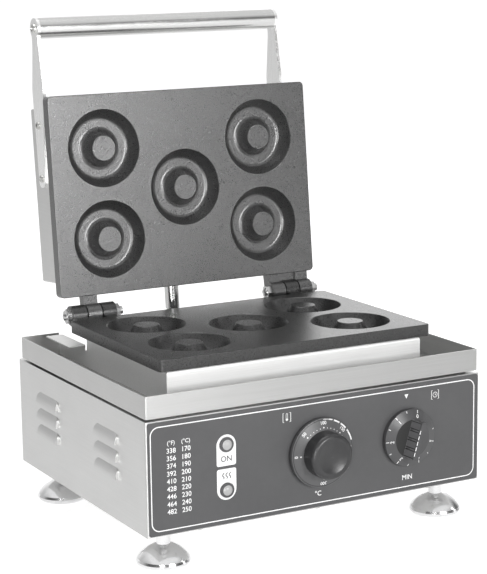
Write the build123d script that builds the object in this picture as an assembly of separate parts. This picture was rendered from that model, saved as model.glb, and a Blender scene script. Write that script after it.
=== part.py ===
"""Mini donut maker: a stainless base box on four levelling feet, a drip tray and collar that carry a
cast ring-mould plate, and a second, identical casting that hinges over it under a stainless cover.

Millimetres. +X is the user's right, +Y the rear, +Z up. Pieces are modelled from the front face of the
housing (y = 0) and the table (z = 0), and moved to the middle of the overall depth when they are written.
The lid is modelled closed, with the hinge axis as its origin, and is then turned open onto its stop.
"""
import os
from math import cos, radians, sin

from build123d import *

# Housing: a folded sheet wrap, closed by a rear panel and a bottom plate
HOUSING_SIDE_MARGIN = 33.0
HOUSING_REAR_MARGIN = 37.8
HOUSING_HEIGHT = 107.0
HOUSING_SHEET = 1.2
HOUSING_BEND = 1.6
HOUSING_FLANGE = 14.0
BOTTOM_FIT = 0.4

# Louvres pressed out of both sides
LOUVRE_LENGTH = 48.0
LOUVRE_HEIGHT = 10.5
LOUVRE_DEPTH = 3.4
LOUVRE_BULGE = 0.76
LOUVRE_ROUND = 5.1
LOUVRE_PITCH = 16.5
LOUVRE_ROWS = 3
LOUVRE_TOP = 34.0
LOUVRE_FRONT_SETBACK = 82.5
LOUVRE_REAR_SETBACK = 73.0

# Levelling feet
FOOT_HEIGHT = 38.0
FOOT_INSET = 30.0
FOOT_BELL_RADIUS = 24.9
FOOT_BELL_LEVEL = 5.5
FOOT_ROLL_INSET = 0.9
FOOT_ROLL_LEVEL = 7.8
FOOT_FLANK_BULGE = 1.9
FOOT_SOLE_RADIUS = 19.0
FOOT_STEM_RADIUS = 6.5
FOOT_STEM_LENGTH = 16.5
FOOT_GAP = 0.5
STUD_RADIUS = 4.0
STUD_LENGTH = 24.0
STUD_SEAT = 10.0
SOCKET_SIZE = 17.0
SOCKET_HEIGHT = 12.0
THREAD_CLEARANCE = 0.05
STUD_HOLE_CLEARANCE = 1.0

# Drip tray on top of the housing
TRAY_SHEET = 1.0
TRAY_SIDE_INSET = 1.0
TRAY_FRONT_INSET = 1.5
TRAY_REAR_INSET = 4.4
TRAY_WALL = 21.0
TRAY_SHADOW_GAP = 2.1
TRAY_STEP_INSET = 8.0
TRAY_BEND = 1.5

# Collar that lifts the lower casting out of the tray
COLLAR_SHEET = 1.2
COLLAR_SIDE_INSET = 9.0
COLLAR_FRONT_INSET = 4.9
COLLAR_HEIGHT = 33.0
COLLAR_FLANGE = 9.0
COLLAR_BEND = 4.5
COLLAR_EAR_WIDTH = 20.0
COLLAR_EAR_DEPTH = 17.0
COLLAR_EAR_EDGE = 6.0
COLLAR_FULL_SETBACK = 19.1
COLLAR_RELIEF = 6.0
COLLAR_TAB_SETBACK = 6.6
COLLAR_TAB_WIDTH = 17.0
COLLAR_TAB_LEVEL = 21.5
COLLAR_LOW_LEVEL = 16.0

# Ring-mould casting, used for both plates
PLATE_SIDE_MARGIN = 19.0
PLATE_END_MARGIN = 16.0
PLATE_THICKNESS = 11.5
PLATE_CORNER = 4.5
PLATE_EDGE = 0.8
PLATE_FRONT = 35.1
RIM_INSET = 12.8
RIM_WALL = 8.0
RIM_HEIGHT = 6.5
RIM_SCREW_DEPTH = 6.0
RIM_CORNER = 2.0
MOULD_PITCH_X = 89.0
MOULD_GAP = 14.0
MOULD_RADIUS = 39.0
MOULD_FLOOR_OUTER = 30.7
MOULD_FLOOR_INNER = 19.5
MOULD_CORE = 12.9
MOULD_DEPTH = 13.5
MOULD_WALL_SAG = 0.6
MOULD_FLOOR_ROUND = 4.5
MOULD_LIP = 0.5
CUP_WALL = 4.0
CUP_ROUND = 3.0

# Hinge cast on the plates: interleaved knuckles, a stop heel and its web
HINGE_BEHIND = 18.1
FACE_TO_AXIS = 0.75
KNUCKLE_RADIUS = 10.0
KNUCKLE_LENGTH = 14.9
KNUCKLE_GAP = 1.4
HINGE_SETBACK = 32.0
HEEL_LENGTH = 13.0
HEEL_THICKNESS = 9.0
STOP_GAP = 0.35
STOP_TOP = 4.0
PIN_RADIUS = 4.0
PIN_CLEARANCE = 0.05
PIN_HEAD_ACROSS = 13.0
PIN_HEAD_HEIGHT = 5.3
PIN_TAIL = 4.0
NUT_HEX_HEIGHT = 5.0
NUT_DOME_RADIUS = 5.8
LID_OPEN = 95.5

# Heaters clamped to the backs of the castings
HEATER_RADIUS = 4.25
HEATER_OVERHANG = 21.0
HEATER_LEAD_X = 18.0
HEATER_END = 66.0
HEATER_BEND = 14.0
HEATER_PIN_RADIUS = 1.6
HEATER_PIN_LENGTH = 7.0
CLAMP_SHEET = 1.2
CLAMP_MARGIN = 7.75
CLAMP_BOSS_MARGIN = 0.5
CLAMP_CORNER = 6.0
CLAMP_BOSS_OFFSET = 26.0
CLAMP_BOSS_RADIUS = 5.0
CLAMP_PASS_RADIUS = 6.0

# Fasteners
SCREW_RADIUS = 2.0
SCREW_HEAD_RADIUS = 4.0
SCREW_HEAD_HEIGHT = 2.4
SCREW_DEPTH = 8.0
SCREW_HOLE_CLEARANCE = 0.25
SCREW_NUT_ACROSS = 7.0
SCREW_NUT_HEIGHT = 3.2
BOTTOM_SCREW_SETBACK = 55.0
BOTTOM_SIDE_SCREWS = 2
REAR_SCREW_SETBACK = 18.0
COVER_SCREW_X = 60.0
COVER_SCREW_RADIUS = 1.5
COVER_SCREW_HEAD_RADIUS = 2.75
COVER_SCREW_HEAD_HEIGHT = 1.8

# Stainless cover over the upper casting, and the handle on it
COVER_SHEET = 1.0
COVER_FIT = 0.2
COVER_HEIGHT = 63.0
COVER_BEND = 2.0
ARM_THICKNESS = 3.0
ARM_EYE_RADIUS = 10.5
ARM_SHOULDER_REACH = 18.5
ARM_SHOULDER_LOW = 18.0
ARM_SHOULDER_HIGH = 46.5
ARM_LAP = 80.5
ARM_END_LOW = 30.5
ARM_END_HIGH = 44.5
ARM_NECK_LENGTH = 17.0
ARM_NECK_HALF = 7.5
ARM_ROUND = 6.0
ARM_SHOULDER_ROUND = 30.0
ARM_NECK_ROUND = 20.0
ARM_SCREW_SETBACKS = (17.0, 71.2)
ARM_SCREW_Z = 36.5
ARM_SCREW_LENGTH = 9.0
HANDLE_REACH = 80.5
HANDLE_Z = 30.5
HANDLE_RADIUS = 10.5
HANDLE_WALL = 1.5
HANDLE_PLUG = 12.0
HANDLE_SCREW_RADIUS = 2.5
HANDLE_SCREW_HEAD_RADIUS = 5.0
HANDLE_SCREW_HEAD_HEIGHT = 2.6

# Armoured conduit from the base to the lid
CONDUIT_X = -10.5
CONDUIT_LEVEL = 15.5
CONDUIT_RADIUS = 7.25
CONDUIT_ROOT_RADIUS = 6.2
CONDUIT_BORE_RADIUS = 5.0
CONDUIT_RIB_PITCH = 4.5
CONDUIT_RIB_CREST = 1.44
CONDUIT_RIB_ROOT = 1.08
FERRULE_RADIUS = 7.5
FERRULE_LENGTH = 38.0
FERRULE_CHAMFER = 1.0
FERRULE_SPIGOT_RADIUS = 6.5
FERRULE_SPIGOT_LENGTH = 9.0
GLAND_RADIUS = 10.5
GLAND_HEIGHT = 8.0
GLAND_ROUND = 1.0
GLAND_SEAT = 4.0
GLAND_FIT = 0.3
GLAND_SPIGOT_LENGTH = 7.0
CONDUIT_NUT_ACROSS = 17.0
CONDUIT_NUT_HEIGHT = 4.0

# Control panel and what stands on it, placed from the housing's underside
PANEL_SHEET = 0.6
PANEL_INSET = 1.6
PANEL_EDGE = 1.0
PANEL_CORNER = 2.5
CONTROL_LEVEL = 54.5
CONTROL_GAP = 1.0
DIAL_X = -1.0
DIAL_FLANGE_RADIUS = 33.0
DIAL_FLANGE_THICKNESS = 5.0
DIAL_FLANGE_ROUND = 1.5
DIAL_HUB_RADIUS = 22.0
DIAL_HUB_HEIGHT = 18.6
DIAL_HUB_ROUND = 4.0
DIAL_DISH_RADIUS = 15.5
DIAL_DISH_DEPTH = 2.6
TIMER_SETBACK = 83.4
TIMER_SKIRT_RADIUS = 28.0
TIMER_SKIRT_TOP = 19.0
TIMER_SKIRT_HEIGHT = 8.0
TIMER_RIM_HEIGHT = 4.0
TIMER_GRIP_RADIUS = 18.5
TIMER_GRIP_HEIGHT = 13.0
TIMER_GRIP_WIDTH = 11.0
TIMER_GRIP_TAPER = 6.0
TIMER_GRIP_ANGLE = 73.0
TIMER_GROOVES = 3
TIMER_GROOVE_PITCH = 9.0
TIMER_GROOVE_WIDTH = 1.6
TIMER_GROOVE_DEPTH = 1.0
SHAFT_RADIUS = 3.0
SHAFT_FLAT = 2.2
SHAFT_CLEARANCE = 0.05
SHAFT_GRIP = 13.0
SHAFT_IN_BODY = 12.0
SHAFT_HOLE_RADIUS = 5.0
THERMOSTAT_SIZE = (42.0, 34.0, 36.0)
THERMOSTAT_PLATE = (52.0, 40.0, 1.5)
TIMER_BODY_RADIUS = 24.0
TIMER_BODY_DEPTH = 40.0
TIMER_PLATE = (60.0, 40.0, 1.5)
LAMP_SETBACK = 80.4
LAMP_SPREAD = 21.4
LAMP_BEZEL_RADIUS = 7.0
LAMP_BEZEL_HEIGHT = 2.2
LAMP_BEZEL_ROUND = 0.7
LAMP_BARREL_RADIUS = 5.6
LAMP_LENS_RADIUS = 4.8
LAMP_LENS_RISE = 1.8
LAMP_SEAT_DEPTH = 1.2
LAMP_DEPTH = 26.0

# Thermostat bulb under the lower casting, with its capillary
BULB_RADIUS = 3.0
BULB_LENGTH = 40.0
BULB_GAP = 10.0
CAPILLARY_RADIUS = 1.0
CAPILLARY_BEND = 4.0
CAPILLARY_RUN = 5.5
CAPILLARY_X = 14.0
CAPILLARY_HOLE_RADIUS = 3.0

# Supply inlet on the rear panel, and the terminal block behind it
INLET_SETBACK = 62.0
INLET_LEVEL = 34.0
INLET_BORE = 9.0
INLET_RADIUS = 6.6
INLET_FLANGE_ACROSS = 19.0
INLET_FLANGE_LENGTH = 6.0
INLET_DOME_LENGTH = 11.0
INLET_DOME_RADIUS = 8.6
INLET_MOUTH = 1.0
INLET_INNER_LENGTH = 9.0
INLET_NUT_HEIGHT = 4.5
TERMINAL_DEPTH = 22.0
TERMINAL_HEIGHT = 18.0
TERMINAL_POLES = 3
TERMINAL_PITCH = 15.0
TERMINAL_POLE_RADIUS = 5.5
TERMINAL_BORE_RADIUS = 3.0
TERMINAL_SETBACK = 45.0

# Sizes, levels and places that follow from the sizes above
MOULD_PITCH_Y = MOULD_RADIUS + MOULD_GAP / 2
PLATE_WIDTH = 2 * (MOULD_PITCH_X + MOULD_RADIUS + PLATE_SIDE_MARGIN)
PLATE_DEPTH = 2 * (MOULD_PITCH_Y + MOULD_RADIUS + PLATE_END_MARGIN)
PLATE_REAR = PLATE_FRONT + PLATE_DEPTH
HINGE_Y = PLATE_REAR + HINGE_BEHIND
HOUSING_WIDTH = PLATE_WIDTH + 2 * HOUSING_SIDE_MARGIN
HOUSING_DEPTH = HINGE_Y + HOUSING_REAR_MARGIN
HOUSING_TOP = FOOT_HEIGHT + HOUSING_HEIGHT
TRAY_EDGE = HOUSING_TOP + TRAY_SHADOW_GAP
TRAY_FLOOR = HOUSING_TOP + TRAY_SHEET
TRAY_HALF_WIDTH = HOUSING_WIDTH / 2 - TRAY_SIDE_INSET
TRAY_REAR = HOUSING_DEPTH - TRAY_REAR_INSET
COLLAR_HALF_WIDTH = PLATE_WIDTH / 2 - COLLAR_SIDE_INSET
COLLAR_FRONT = PLATE_FRONT + COLLAR_FRONT_INSET
COLLAR_TOP = TRAY_FLOOR + COLLAR_HEIGHT
HINGE_Z = COLLAR_TOP + PLATE_THICKNESS + FACE_TO_AXIS
HINGE_MIDDLE = PLATE_WIDTH / 2 - HINGE_SETBACK
CONTROL_Z = FOOT_HEIGHT + CONTROL_LEVEL
LAMP_X = LAMP_SETBACK - HOUSING_WIDTH / 2
TIMER_X = HOUSING_WIDTH / 2 - TIMER_SETBACK
INLET_X = HOUSING_WIDTH / 2 - INLET_SETBACK
CONTROL_BACK = PANEL_SHEET + HOUSING_SHEET

# Levels and places on a casting that lies face up, measured from the hinge axis
FACE = -FACE_TO_AXIS
BACK = FACE - PLATE_THICKNESS
CUP_BOTTOM = FACE - MOULD_DEPTH - CUP_WALL
CLAMP_TOP = CUP_BOTTOM - 2 * HEATER_RADIUS
PLATE_MID = -HINGE_BEHIND - PLATE_DEPTH / 2
RIM_HALF_WIDTH = PLATE_WIDTH / 2 - RIM_INSET
RIM_HALF_DEPTH = PLATE_DEPTH / 2 - RIM_INSET
MOULD_PLACES = [(0, PLATE_MID)] + [
    (x * MOULD_PITCH_X, PLATE_MID + y * MOULD_PITCH_Y) for x in (-1, 1) for y in (-1, 1)
]
CLAMP_BOSS_X = MOULD_PITCH_X / 2
CLAMP_BOSS_Y = MOULD_PITCH_Y + CLAMP_BOSS_OFFSET
CLAMP_BOSSES = [(x * CLAMP_BOSS_X, PLATE_MID + y * CLAMP_BOSS_Y) for x in (-1, 1) for y in (-1, 1)]
HEATER_HALF_WIDTH = MOULD_PITCH_X + HEATER_OVERHANG
BULB_END = HEATER_HALF_WIDTH - HEATER_RADIUS - BULB_GAP
CAPILLARY_DROP_X = BULB_END + CAPILLARY_RUN

# The closed lid, measured from the hinge axis, and the middle of the overall depth when it stands open
LID_BACK = -BACK
COVER_OUTSET = COVER_FIT + COVER_SHEET
COVER_HALF_WIDTH = RIM_HALF_WIDTH + COVER_OUTSET
COVER_NEAR = PLATE_MID + RIM_HALF_DEPTH + COVER_OUTSET
COVER_FAR = PLATE_MID - RIM_HALF_DEPTH - COVER_OUTSET
COVER_TOP = LID_BACK + COVER_HEIGHT
HANDLE_Y = COVER_FAR - HANDLE_REACH
FERRULE_END = COVER_NEAR + FERRULE_LENGTH
LEAN = radians(LID_OPEN - 90)
CONDUIT_RISE = LID_BACK + CONDUIT_LEVEL
CONDUIT_AT_FLOOR = (HINGE_Z - TRAY_FLOOR - CONDUIT_RISE * sin(LEAN)) / cos(LEAN)
CONDUIT_END = CONDUIT_AT_FLOOR - GLAND_SEAT / cos(LEAN)
LID_CORNER = (COVER_TOP - COVER_BEND) * cos(LEAN) - (COVER_FAR + COVER_BEND) * sin(LEAN)
LID_REACH = HINGE_Y + LID_CORNER + COVER_BEND
KNOB_REACH = max(DIAL_FLANGE_THICKNESS + DIAL_HUB_HEIGHT, TIMER_SKIRT_HEIGHT + TIMER_GRIP_HEIGHT)
DEPTH_MIDDLE = (LID_REACH - PANEL_SHEET - CONTROL_GAP - KNOB_REACH) / 2

CONDUIT_FLOOR = Pos(
    CONDUIT_X, HINGE_Y + CONDUIT_RISE * cos(LEAN) - CONDUIT_AT_FLOOR * sin(LEAN), TRAY_FLOOR
)
LOWER = Pos(0, HINGE_Y, HINGE_Z)
LID = LOWER * Rot(-LID_OPEN, 0, 0)
UPPER = LID * Rot(0, 180, 0)
CONDUIT = LID * Pos(CONDUIT_X, 0, CONDUIT_RISE) * Rot(-90, 0, 0)
SCREW_HOLE = SCREW_RADIUS + SCREW_HOLE_CLEARANCE
SCREW_TAPPED = SCREW_RADIUS + THREAD_CLEARANCE
SIDES = {"left": -1, "right": 1}
INLET = Pos(INLET_X, HOUSING_DEPTH, FOOT_HEIGHT + INLET_LEVEL) * Rot(-90, 0, 0)


def about(half):
    """The low and high ends of a range that lies evenly about zero."""
    return -half, half


def block(x, y, z):
    """A box between a low and a high plane on each axis."""
    middles = [(low + high) / 2 for low, high in (x, y, z)]
    sizes = [high - low for low, high in (x, y, z)]
    return Pos(*middles) * Box(*sizes)


def rounded_block(x, y, z, radius):
    """A box with its four upright edges rounded."""
    return fillet(block(x, y, z).edges().filter_by(Axis.Z), radius)


def post(radius, low, high):
    """An upright cylinder between two levels."""
    return Pos(0, 0, (low + high) / 2) * Cylinder(radius, high - low)


def hexagon(across, low, high):
    """An upright hexagonal prism between two levels, sized across its flats."""
    return Pos(0, 0, low) * extrude(RegularPolygon(across / 2, 6, major_radius=False), high - low)


def nut(across, thread, low, high):
    """An upright hexagon nut between two levels."""
    return hexagon(across, low, high) - post(thread + THREAD_CLEARANCE, low, high)


def across_x(outline, low, high):
    """A face drawn in Y and Z, extruded along X between two planes."""
    return extrude(Plane.YZ.offset(low) * outline, high - low)


def screw(length, radius=SCREW_RADIUS, head_radius=SCREW_HEAD_RADIUS, head_height=SCREW_HEAD_HEIGHT):
    """A pan-head screw that points down, with its head seated at z = 0."""
    head = post(head_radius, 0, head_height)
    head = fillet(head.faces().sort_by(Axis.Z)[-1].edges(), head_height / 2)
    return head + post(radius, -length, 0)


def group(places, piece):
    """Separate copies of one small piece, kept together in one node."""
    return Compound(children=[place * piece for place in places])


def bottom_screw_places():
    """Screws that hold the bottom plate: along the front flange and along both side flanges."""
    reach = HOUSING_WIDTH / 2 - BOTTOM_SCREW_SETBACK
    flange = HOUSING_FLANGE / 2
    front = [Pos(x, flange, FOOT_HEIGHT) for x in (-reach, 0, reach)]
    side = HOUSING_WIDTH / 2 - flange
    pitch = HOUSING_DEPTH / (BOTTOM_SIDE_SCREWS + 1)
    rows = [pitch * (count + 1) for count in range(BOTTOM_SIDE_SCREWS)]
    edges = [Pos(x, y, FOOT_HEIGHT) for x in about(side) for y in rows]
    return front + edges


def rear_screw_places():
    """Screws that hold the rear panel to the side flanges, pointing forward."""
    side = HOUSING_WIDTH / 2 - HOUSING_FLANGE / 2
    levels = (REAR_SCREW_SETBACK, HOUSING_HEIGHT / 2, HOUSING_HEIGHT - REAR_SCREW_SETBACK)
    return [
        Pos(x, HOUSING_DEPTH, FOOT_HEIGHT + level) * Rot(-90, 0, 0)
        for x in about(side)
        for level in levels
    ]


def louvre(length, height, depth, corner, inside):
    """A pressed hood along Y: open below, running out to the sheet above, with rounded upper corners."""
    hood = make_face(
        Polyline((0, height), (-inside, height), (-inside, 0), (depth, 0))
        + SagittaArc((depth, 0), (0, height), -LOUVRE_BULGE)
    )
    hood = Rot(90, 0, 0) * extrude(hood, length / 2, both=True)
    outline = Rectangle(length, height)
    outline = fillet(outline.vertices().group_by(Axis.Y)[-1], corner)
    return hood & extrude(Plane.YZ * Pos(0, height / 2) * outline, depth + inside, both=True)


def on_both_sides(piece):
    """Copies of a louvre at every place on the right side, and their mirror images on the left."""
    columns = (LOUVRE_FRONT_SETBACK, HOUSING_DEPTH - LOUVRE_REAR_SETBACK)
    top = HOUSING_TOP - LOUVRE_TOP
    right = [
        Pos(HOUSING_WIDTH / 2, y, top - row * LOUVRE_PITCH) * piece
        for y in columns
        for row in range(LOUVRE_ROWS)
    ]
    return right + [mirror(copy, about=Plane.YZ) for copy in right]


def on_panel(x, z=CONTROL_Z):
    """A frame on the control panel's face, with its own Z pointing at the user and its own Y up."""
    return Pos(x, -PANEL_SHEET, z) * Rot(90, 0, 0)


def lamp_places():
    """The power lamp above and the heating lamp below."""
    return {
        "power": on_panel(LAMP_X, CONTROL_Z + LAMP_SPREAD),
        "heat": on_panel(LAMP_X, CONTROL_Z - LAMP_SPREAD),
    }


def panel_holes():
    """Holes through the panel and the housing front for the two shafts and the two lamps."""
    reach = 2 * CONTROL_BACK
    holes = [on_panel(x) * post(SHAFT_HOLE_RADIUS, -reach, reach) for x in (DIAL_X, TIMER_X)]
    holes += [place * post(LAMP_BARREL_RADIUS, -reach, reach) for place in lamp_places().values()]
    return holes


def housing_wrap():
    """Front and sides folded from one sheet, with flanges turned in at the top, bottom and rear."""
    half = HOUSING_WIDTH / 2
    rear = HOUSING_DEPTH - HOUSING_SHEET
    outer = block(about(half), (0, rear), (FOOT_HEIGHT, HOUSING_TOP))
    outer = fillet(outer.edges().filter_by(Axis.Z).group_by(Axis.Y)[0], HOUSING_BEND)
    inner = half - HOUSING_SHEET
    lip = half - HOUSING_FLANGE
    cavity = block(
        about(inner),
        (HOUSING_SHEET, rear - HOUSING_SHEET),
        (FOOT_HEIGHT + HOUSING_SHEET, HOUSING_TOP - HOUSING_SHEET),
    )
    opening = block(about(lip), (HOUSING_FLANGE, HOUSING_DEPTH), (0, HOUSING_TOP + HOUSING_SHEET))
    wrap = outer - cavity - opening
    hood = louvre(LOUVRE_LENGTH, LOUVRE_HEIGHT, LOUVRE_DEPTH, LOUVRE_ROUND, HOUSING_SHEET)
    hollow = louvre(
        LOUVRE_LENGTH - 2 * HOUSING_SHEET,
        LOUVRE_HEIGHT - HOUSING_SHEET,
        LOUVRE_DEPTH - HOUSING_SHEET,
        LOUVRE_ROUND - HOUSING_SHEET,
        2 * HOUSING_SHEET,
    )
    wrap = wrap + on_both_sides(hood) - on_both_sides(hollow) - panel_holes()
    wrap -= [place * post(SCREW_HOLE, 0, HOUSING_SHEET) for place in bottom_screw_places()]
    wrap -= [place * post(SCREW_TAPPED, -2 * HOUSING_SHEET, 0) for place in rear_screw_places()]
    return wrap


def rear_panel():
    """Flat rear sheet, screwed to the side flanges, with a hole for the supply inlet."""
    half = HOUSING_WIDTH / 2
    panel = block(
        about(half), (HOUSING_DEPTH - HOUSING_SHEET, HOUSING_DEPTH), (FOOT_HEIGHT, HOUSING_TOP)
    )
    panel -= [place * post(SCREW_HOLE, -HOUSING_SHEET, 0) for place in rear_screw_places()]
    return panel - INLET * post(INLET_RADIUS + SCREW_HOLE_CLEARANCE, -HOUSING_SHEET, 0)


def foot_places():
    """The four feet, inset alike from every side of the housing."""
    reach = HOUSING_WIDTH / 2 - FOOT_INSET
    rows = {"front": FOOT_INSET, "rear": HOUSING_DEPTH - FOOT_INSET}
    return {
        f"{row}_{side}": Pos(sign * reach, y, 0)
        for row, y in rows.items()
        for side, sign in SIDES.items()
    }


def bottom_plate():
    """Flat sheet that lies on the bottom flanges, inside the wrap, with holes for the foot studs."""
    half = HOUSING_WIDTH / 2 - HOUSING_SHEET - BOTTOM_FIT
    low = FOOT_HEIGHT + HOUSING_SHEET
    plate = block(
        about(half),
        (HOUSING_SHEET + BOTTOM_FIT, HOUSING_DEPTH - 2 * HOUSING_SHEET - BOTTOM_FIT),
        (low, low + HOUSING_SHEET),
    )
    plate -= [place * post(SCREW_TAPPED, 0, 2 * HOUSING_SHEET) for place in bottom_screw_places()]
    plate -= [
        place * post(STUD_RADIUS + STUD_HOLE_CLEARANCE, FOOT_HEIGHT, low + 2 * HOUSING_SHEET)
        for place in foot_places().values()
    ]
    return plate


def foot():
    """Chrome bell: a flat sole, a rolled edge, a domed flank and a plain stem, bored for its stud."""
    top = FOOT_HEIGHT - FOOT_GAP
    shoulder = top - FOOT_STEM_LENGTH
    edge = (FOOT_BELL_RADIUS, FOOT_BELL_LEVEL)
    roll = (FOOT_BELL_RADIUS - FOOT_ROLL_INSET, FOOT_ROLL_LEVEL)
    outline = (
        Polyline((0, top), (0, 0), (FOOT_SOLE_RADIUS, 0))
        + TangentArc((FOOT_SOLE_RADIUS, 0), edge, tangent=(1, 0))
        + Line(edge, roll)
        + SagittaArc(roll, (FOOT_STEM_RADIUS, shoulder), -FOOT_FLANK_BULGE)
        + Polyline((FOOT_STEM_RADIUS, shoulder), (FOOT_STEM_RADIUS, top), (0, top))
    )
    bell = revolve(Plane.XZ * make_face(outline), Axis.Z)
    return bell - post(STUD_RADIUS, top - STUD_SEAT, top)


def foot_stud():
    """Threaded stud fixed in the foot, which climbs into the socket on the bottom plate."""
    top = FOOT_HEIGHT - FOOT_GAP
    return post(STUD_RADIUS, top - STUD_SEAT, top + STUD_LENGTH)


def foot_socket():
    """Welded nut on the bottom plate that the foot's stud turns in."""
    low = FOOT_HEIGHT + 2 * HOUSING_SHEET
    return nut(SOCKET_SIZE, STUD_RADIUS, low, low + SOCKET_HEIGHT)


def drip_tray():
    """Gutter tray: its floor drops a step onto the housing, and its rear wall is left at the corners."""
    half = TRAY_HALF_WIDTH
    low = TRAY_EDGE + TRAY_SHEET
    walls = rounded_block(
        about(half), (TRAY_FRONT_INSET, TRAY_REAR), (TRAY_EDGE, TRAY_EDGE + TRAY_WALL), TRAY_BEND
    )
    walls -= block(
        (TRAY_SHEET - half, half - TRAY_SHEET),
        (TRAY_FRONT_INSET + TRAY_SHEET, TRAY_REAR - TRAY_SHEET),
        (low, TRAY_EDGE + TRAY_WALL),
    )
    step = half - TRAY_STEP_INSET
    front = TRAY_FRONT_INSET + TRAY_STEP_INSET
    tray = walls + block(about(step), (front, TRAY_REAR), (HOUSING_TOP, low))
    tray -= block(about(step - TRAY_SHEET), (front + TRAY_SHEET, TRAY_REAR - TRAY_SHEET), (TRAY_FLOOR, low))
    rear_wall = (TRAY_REAR - TRAY_SHEET, TRAY_REAR)
    tray -= block(about(COLLAR_HALF_WIDTH), rear_wall, (TRAY_FLOOR, TRAY_EDGE + TRAY_WALL))
    tray -= CONDUIT_FLOOR * post(FERRULE_SPIGOT_RADIUS + SCREW_HOLE_CLEARANCE, -TRAY_SHEET, 0)
    capillary_hole = post(CAPILLARY_HOLE_RADIUS, HOUSING_TOP, TRAY_FLOOR)
    return tray - Pos(CAPILLARY_DROP_X, HINGE_Y + PLATE_MID, 0) * capillary_hole


def plate_screw_places():
    """Screws up through the ears of the collar's flange into the back of the lower casting."""
    level = COLLAR_TOP - COLLAR_SHEET
    inset = COLLAR_EAR_DEPTH - COLLAR_EAR_EDGE
    sides = [Pos(x, HINGE_Y + PLATE_MID, level) for x in about(COLLAR_HALF_WIDTH - inset)]
    return sides + [Pos(x, COLLAR_FRONT + inset, level) for x in about(CLAMP_BOSS_X)]


def collar_envelope(inset):
    """The collar's outside, or its inside if inset by the sheet: a box with three upper edges bent over."""
    half = COLLAR_HALF_WIDTH - inset
    box = block(about(half), (COLLAR_FRONT + inset, TRAY_REAR - TRAY_SHEET), (TRAY_FLOOR, COLLAR_TOP - inset))
    rim = box.faces().sort_by(Axis.Z)[-1].edges().sort_by(Axis.Y)[:-1]
    return fillet(rim, COLLAR_BEND - inset)


def collar_ears():
    """Where the flange runs further in, to take the screws between the cups."""
    half = COLLAR_EAR_WIDTH / 2
    sheet = (COLLAR_TOP - COLLAR_SHEET, COLLAR_TOP)
    middle = HINGE_Y + PLATE_MID
    side = (COLLAR_HALF_WIDTH - COLLAR_EAR_DEPTH, COLLAR_HALF_WIDTH - COLLAR_FLANGE)
    right = block(side, (middle - half, middle + half), sheet)
    front = (COLLAR_FRONT + COLLAR_FLANGE, COLLAR_FRONT + COLLAR_EAR_DEPTH)
    ahead = [block((x - half, x + half), front, sheet) for x in about(CLAMP_BOSS_X)]
    return [right, mirror(right, about=Plane.YZ), *ahead]


def collar_tab():
    """The right side's low end behind the casting: a short wall that ends in an outward tab."""
    start = PLATE_REAR - COLLAR_FULL_SETBACK + COLLAR_RELIEF
    end = TRAY_REAR - TRAY_SHEET - COLLAR_TAB_SETBACK
    top = TRAY_FLOOR + COLLAR_TAB_LEVEL
    inner = COLLAR_HALF_WIDTH - COLLAR_SHEET
    wall = block((inner, COLLAR_HALF_WIDTH), (start, end), (TRAY_FLOOR + COLLAR_LOW_LEVEL, top))
    tab = (inner, COLLAR_HALF_WIDTH + COLLAR_TAB_WIDTH)
    return wall + block(tab, (start, end), (top - COLLAR_SHEET, top))


def plate_collar():
    """Folded frame that stands in the tray and carries the lower casting on its inward flange."""
    rear = TRAY_REAR - TRAY_SHEET
    collar = collar_envelope(0) - collar_envelope(COLLAR_SHEET)
    opening = COLLAR_HALF_WIDTH - COLLAR_FLANGE
    collar -= block(about(opening), (COLLAR_FRONT + COLLAR_FLANGE, rear), (TRAY_FLOOR, COLLAR_TOP))
    behind = (PLATE_REAR - COLLAR_FULL_SETBACK, rear)
    collar -= block(about(COLLAR_HALF_WIDTH), behind, (TRAY_FLOOR + COLLAR_LOW_LEVEL, COLLAR_TOP))
    tab = collar_tab()
    collar += [*collar_ears(), tab, mirror(tab, about=Plane.YZ)]
    hole = post(SCREW_HOLE, 0, COLLAR_SHEET)
    return collar - [place * hole for place in plate_screw_places()]


def ring_mould():
    """The space of one ring: a bowl-shaped wall, a flat floor with rounded corners and a tapered core."""
    floor_edge = (MOULD_FLOOR_OUTER, -MOULD_DEPTH)
    rim = (MOULD_RADIUS, -MOULD_LIP)
    outline = (
        Polyline(rim, (MOULD_RADIUS + MOULD_LIP, 0), (MOULD_CORE - MOULD_LIP, 0), (MOULD_CORE, -MOULD_LIP))
        + Polyline((MOULD_CORE, -MOULD_LIP), (MOULD_FLOOR_INNER, -MOULD_DEPTH), floor_edge)
        + SagittaArc(floor_edge, rim, -MOULD_WALL_SAG)
    )
    profile = make_face(outline)
    profile = fillet(profile.vertices().group_by(Axis.Y)[0], MOULD_FLOOR_ROUND)
    return revolve(Plane.XZ * profile, Axis.Z)


def hinge_lug(middle):
    """One knuckle on an arm that tapers from the full thickness of the casting."""
    arm = Polyline(
        (-HINGE_BEHIND, FACE), (0, FACE), (0, -KNUCKLE_RADIUS), (-HINGE_BEHIND, BACK), close=True
    )
    outline = make_face(arm) + Circle(KNUCKLE_RADIUS)
    return across_x(outline, middle - KNUCKLE_LENGTH / 2, middle + KNUCKLE_LENGTH / 2)


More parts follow.
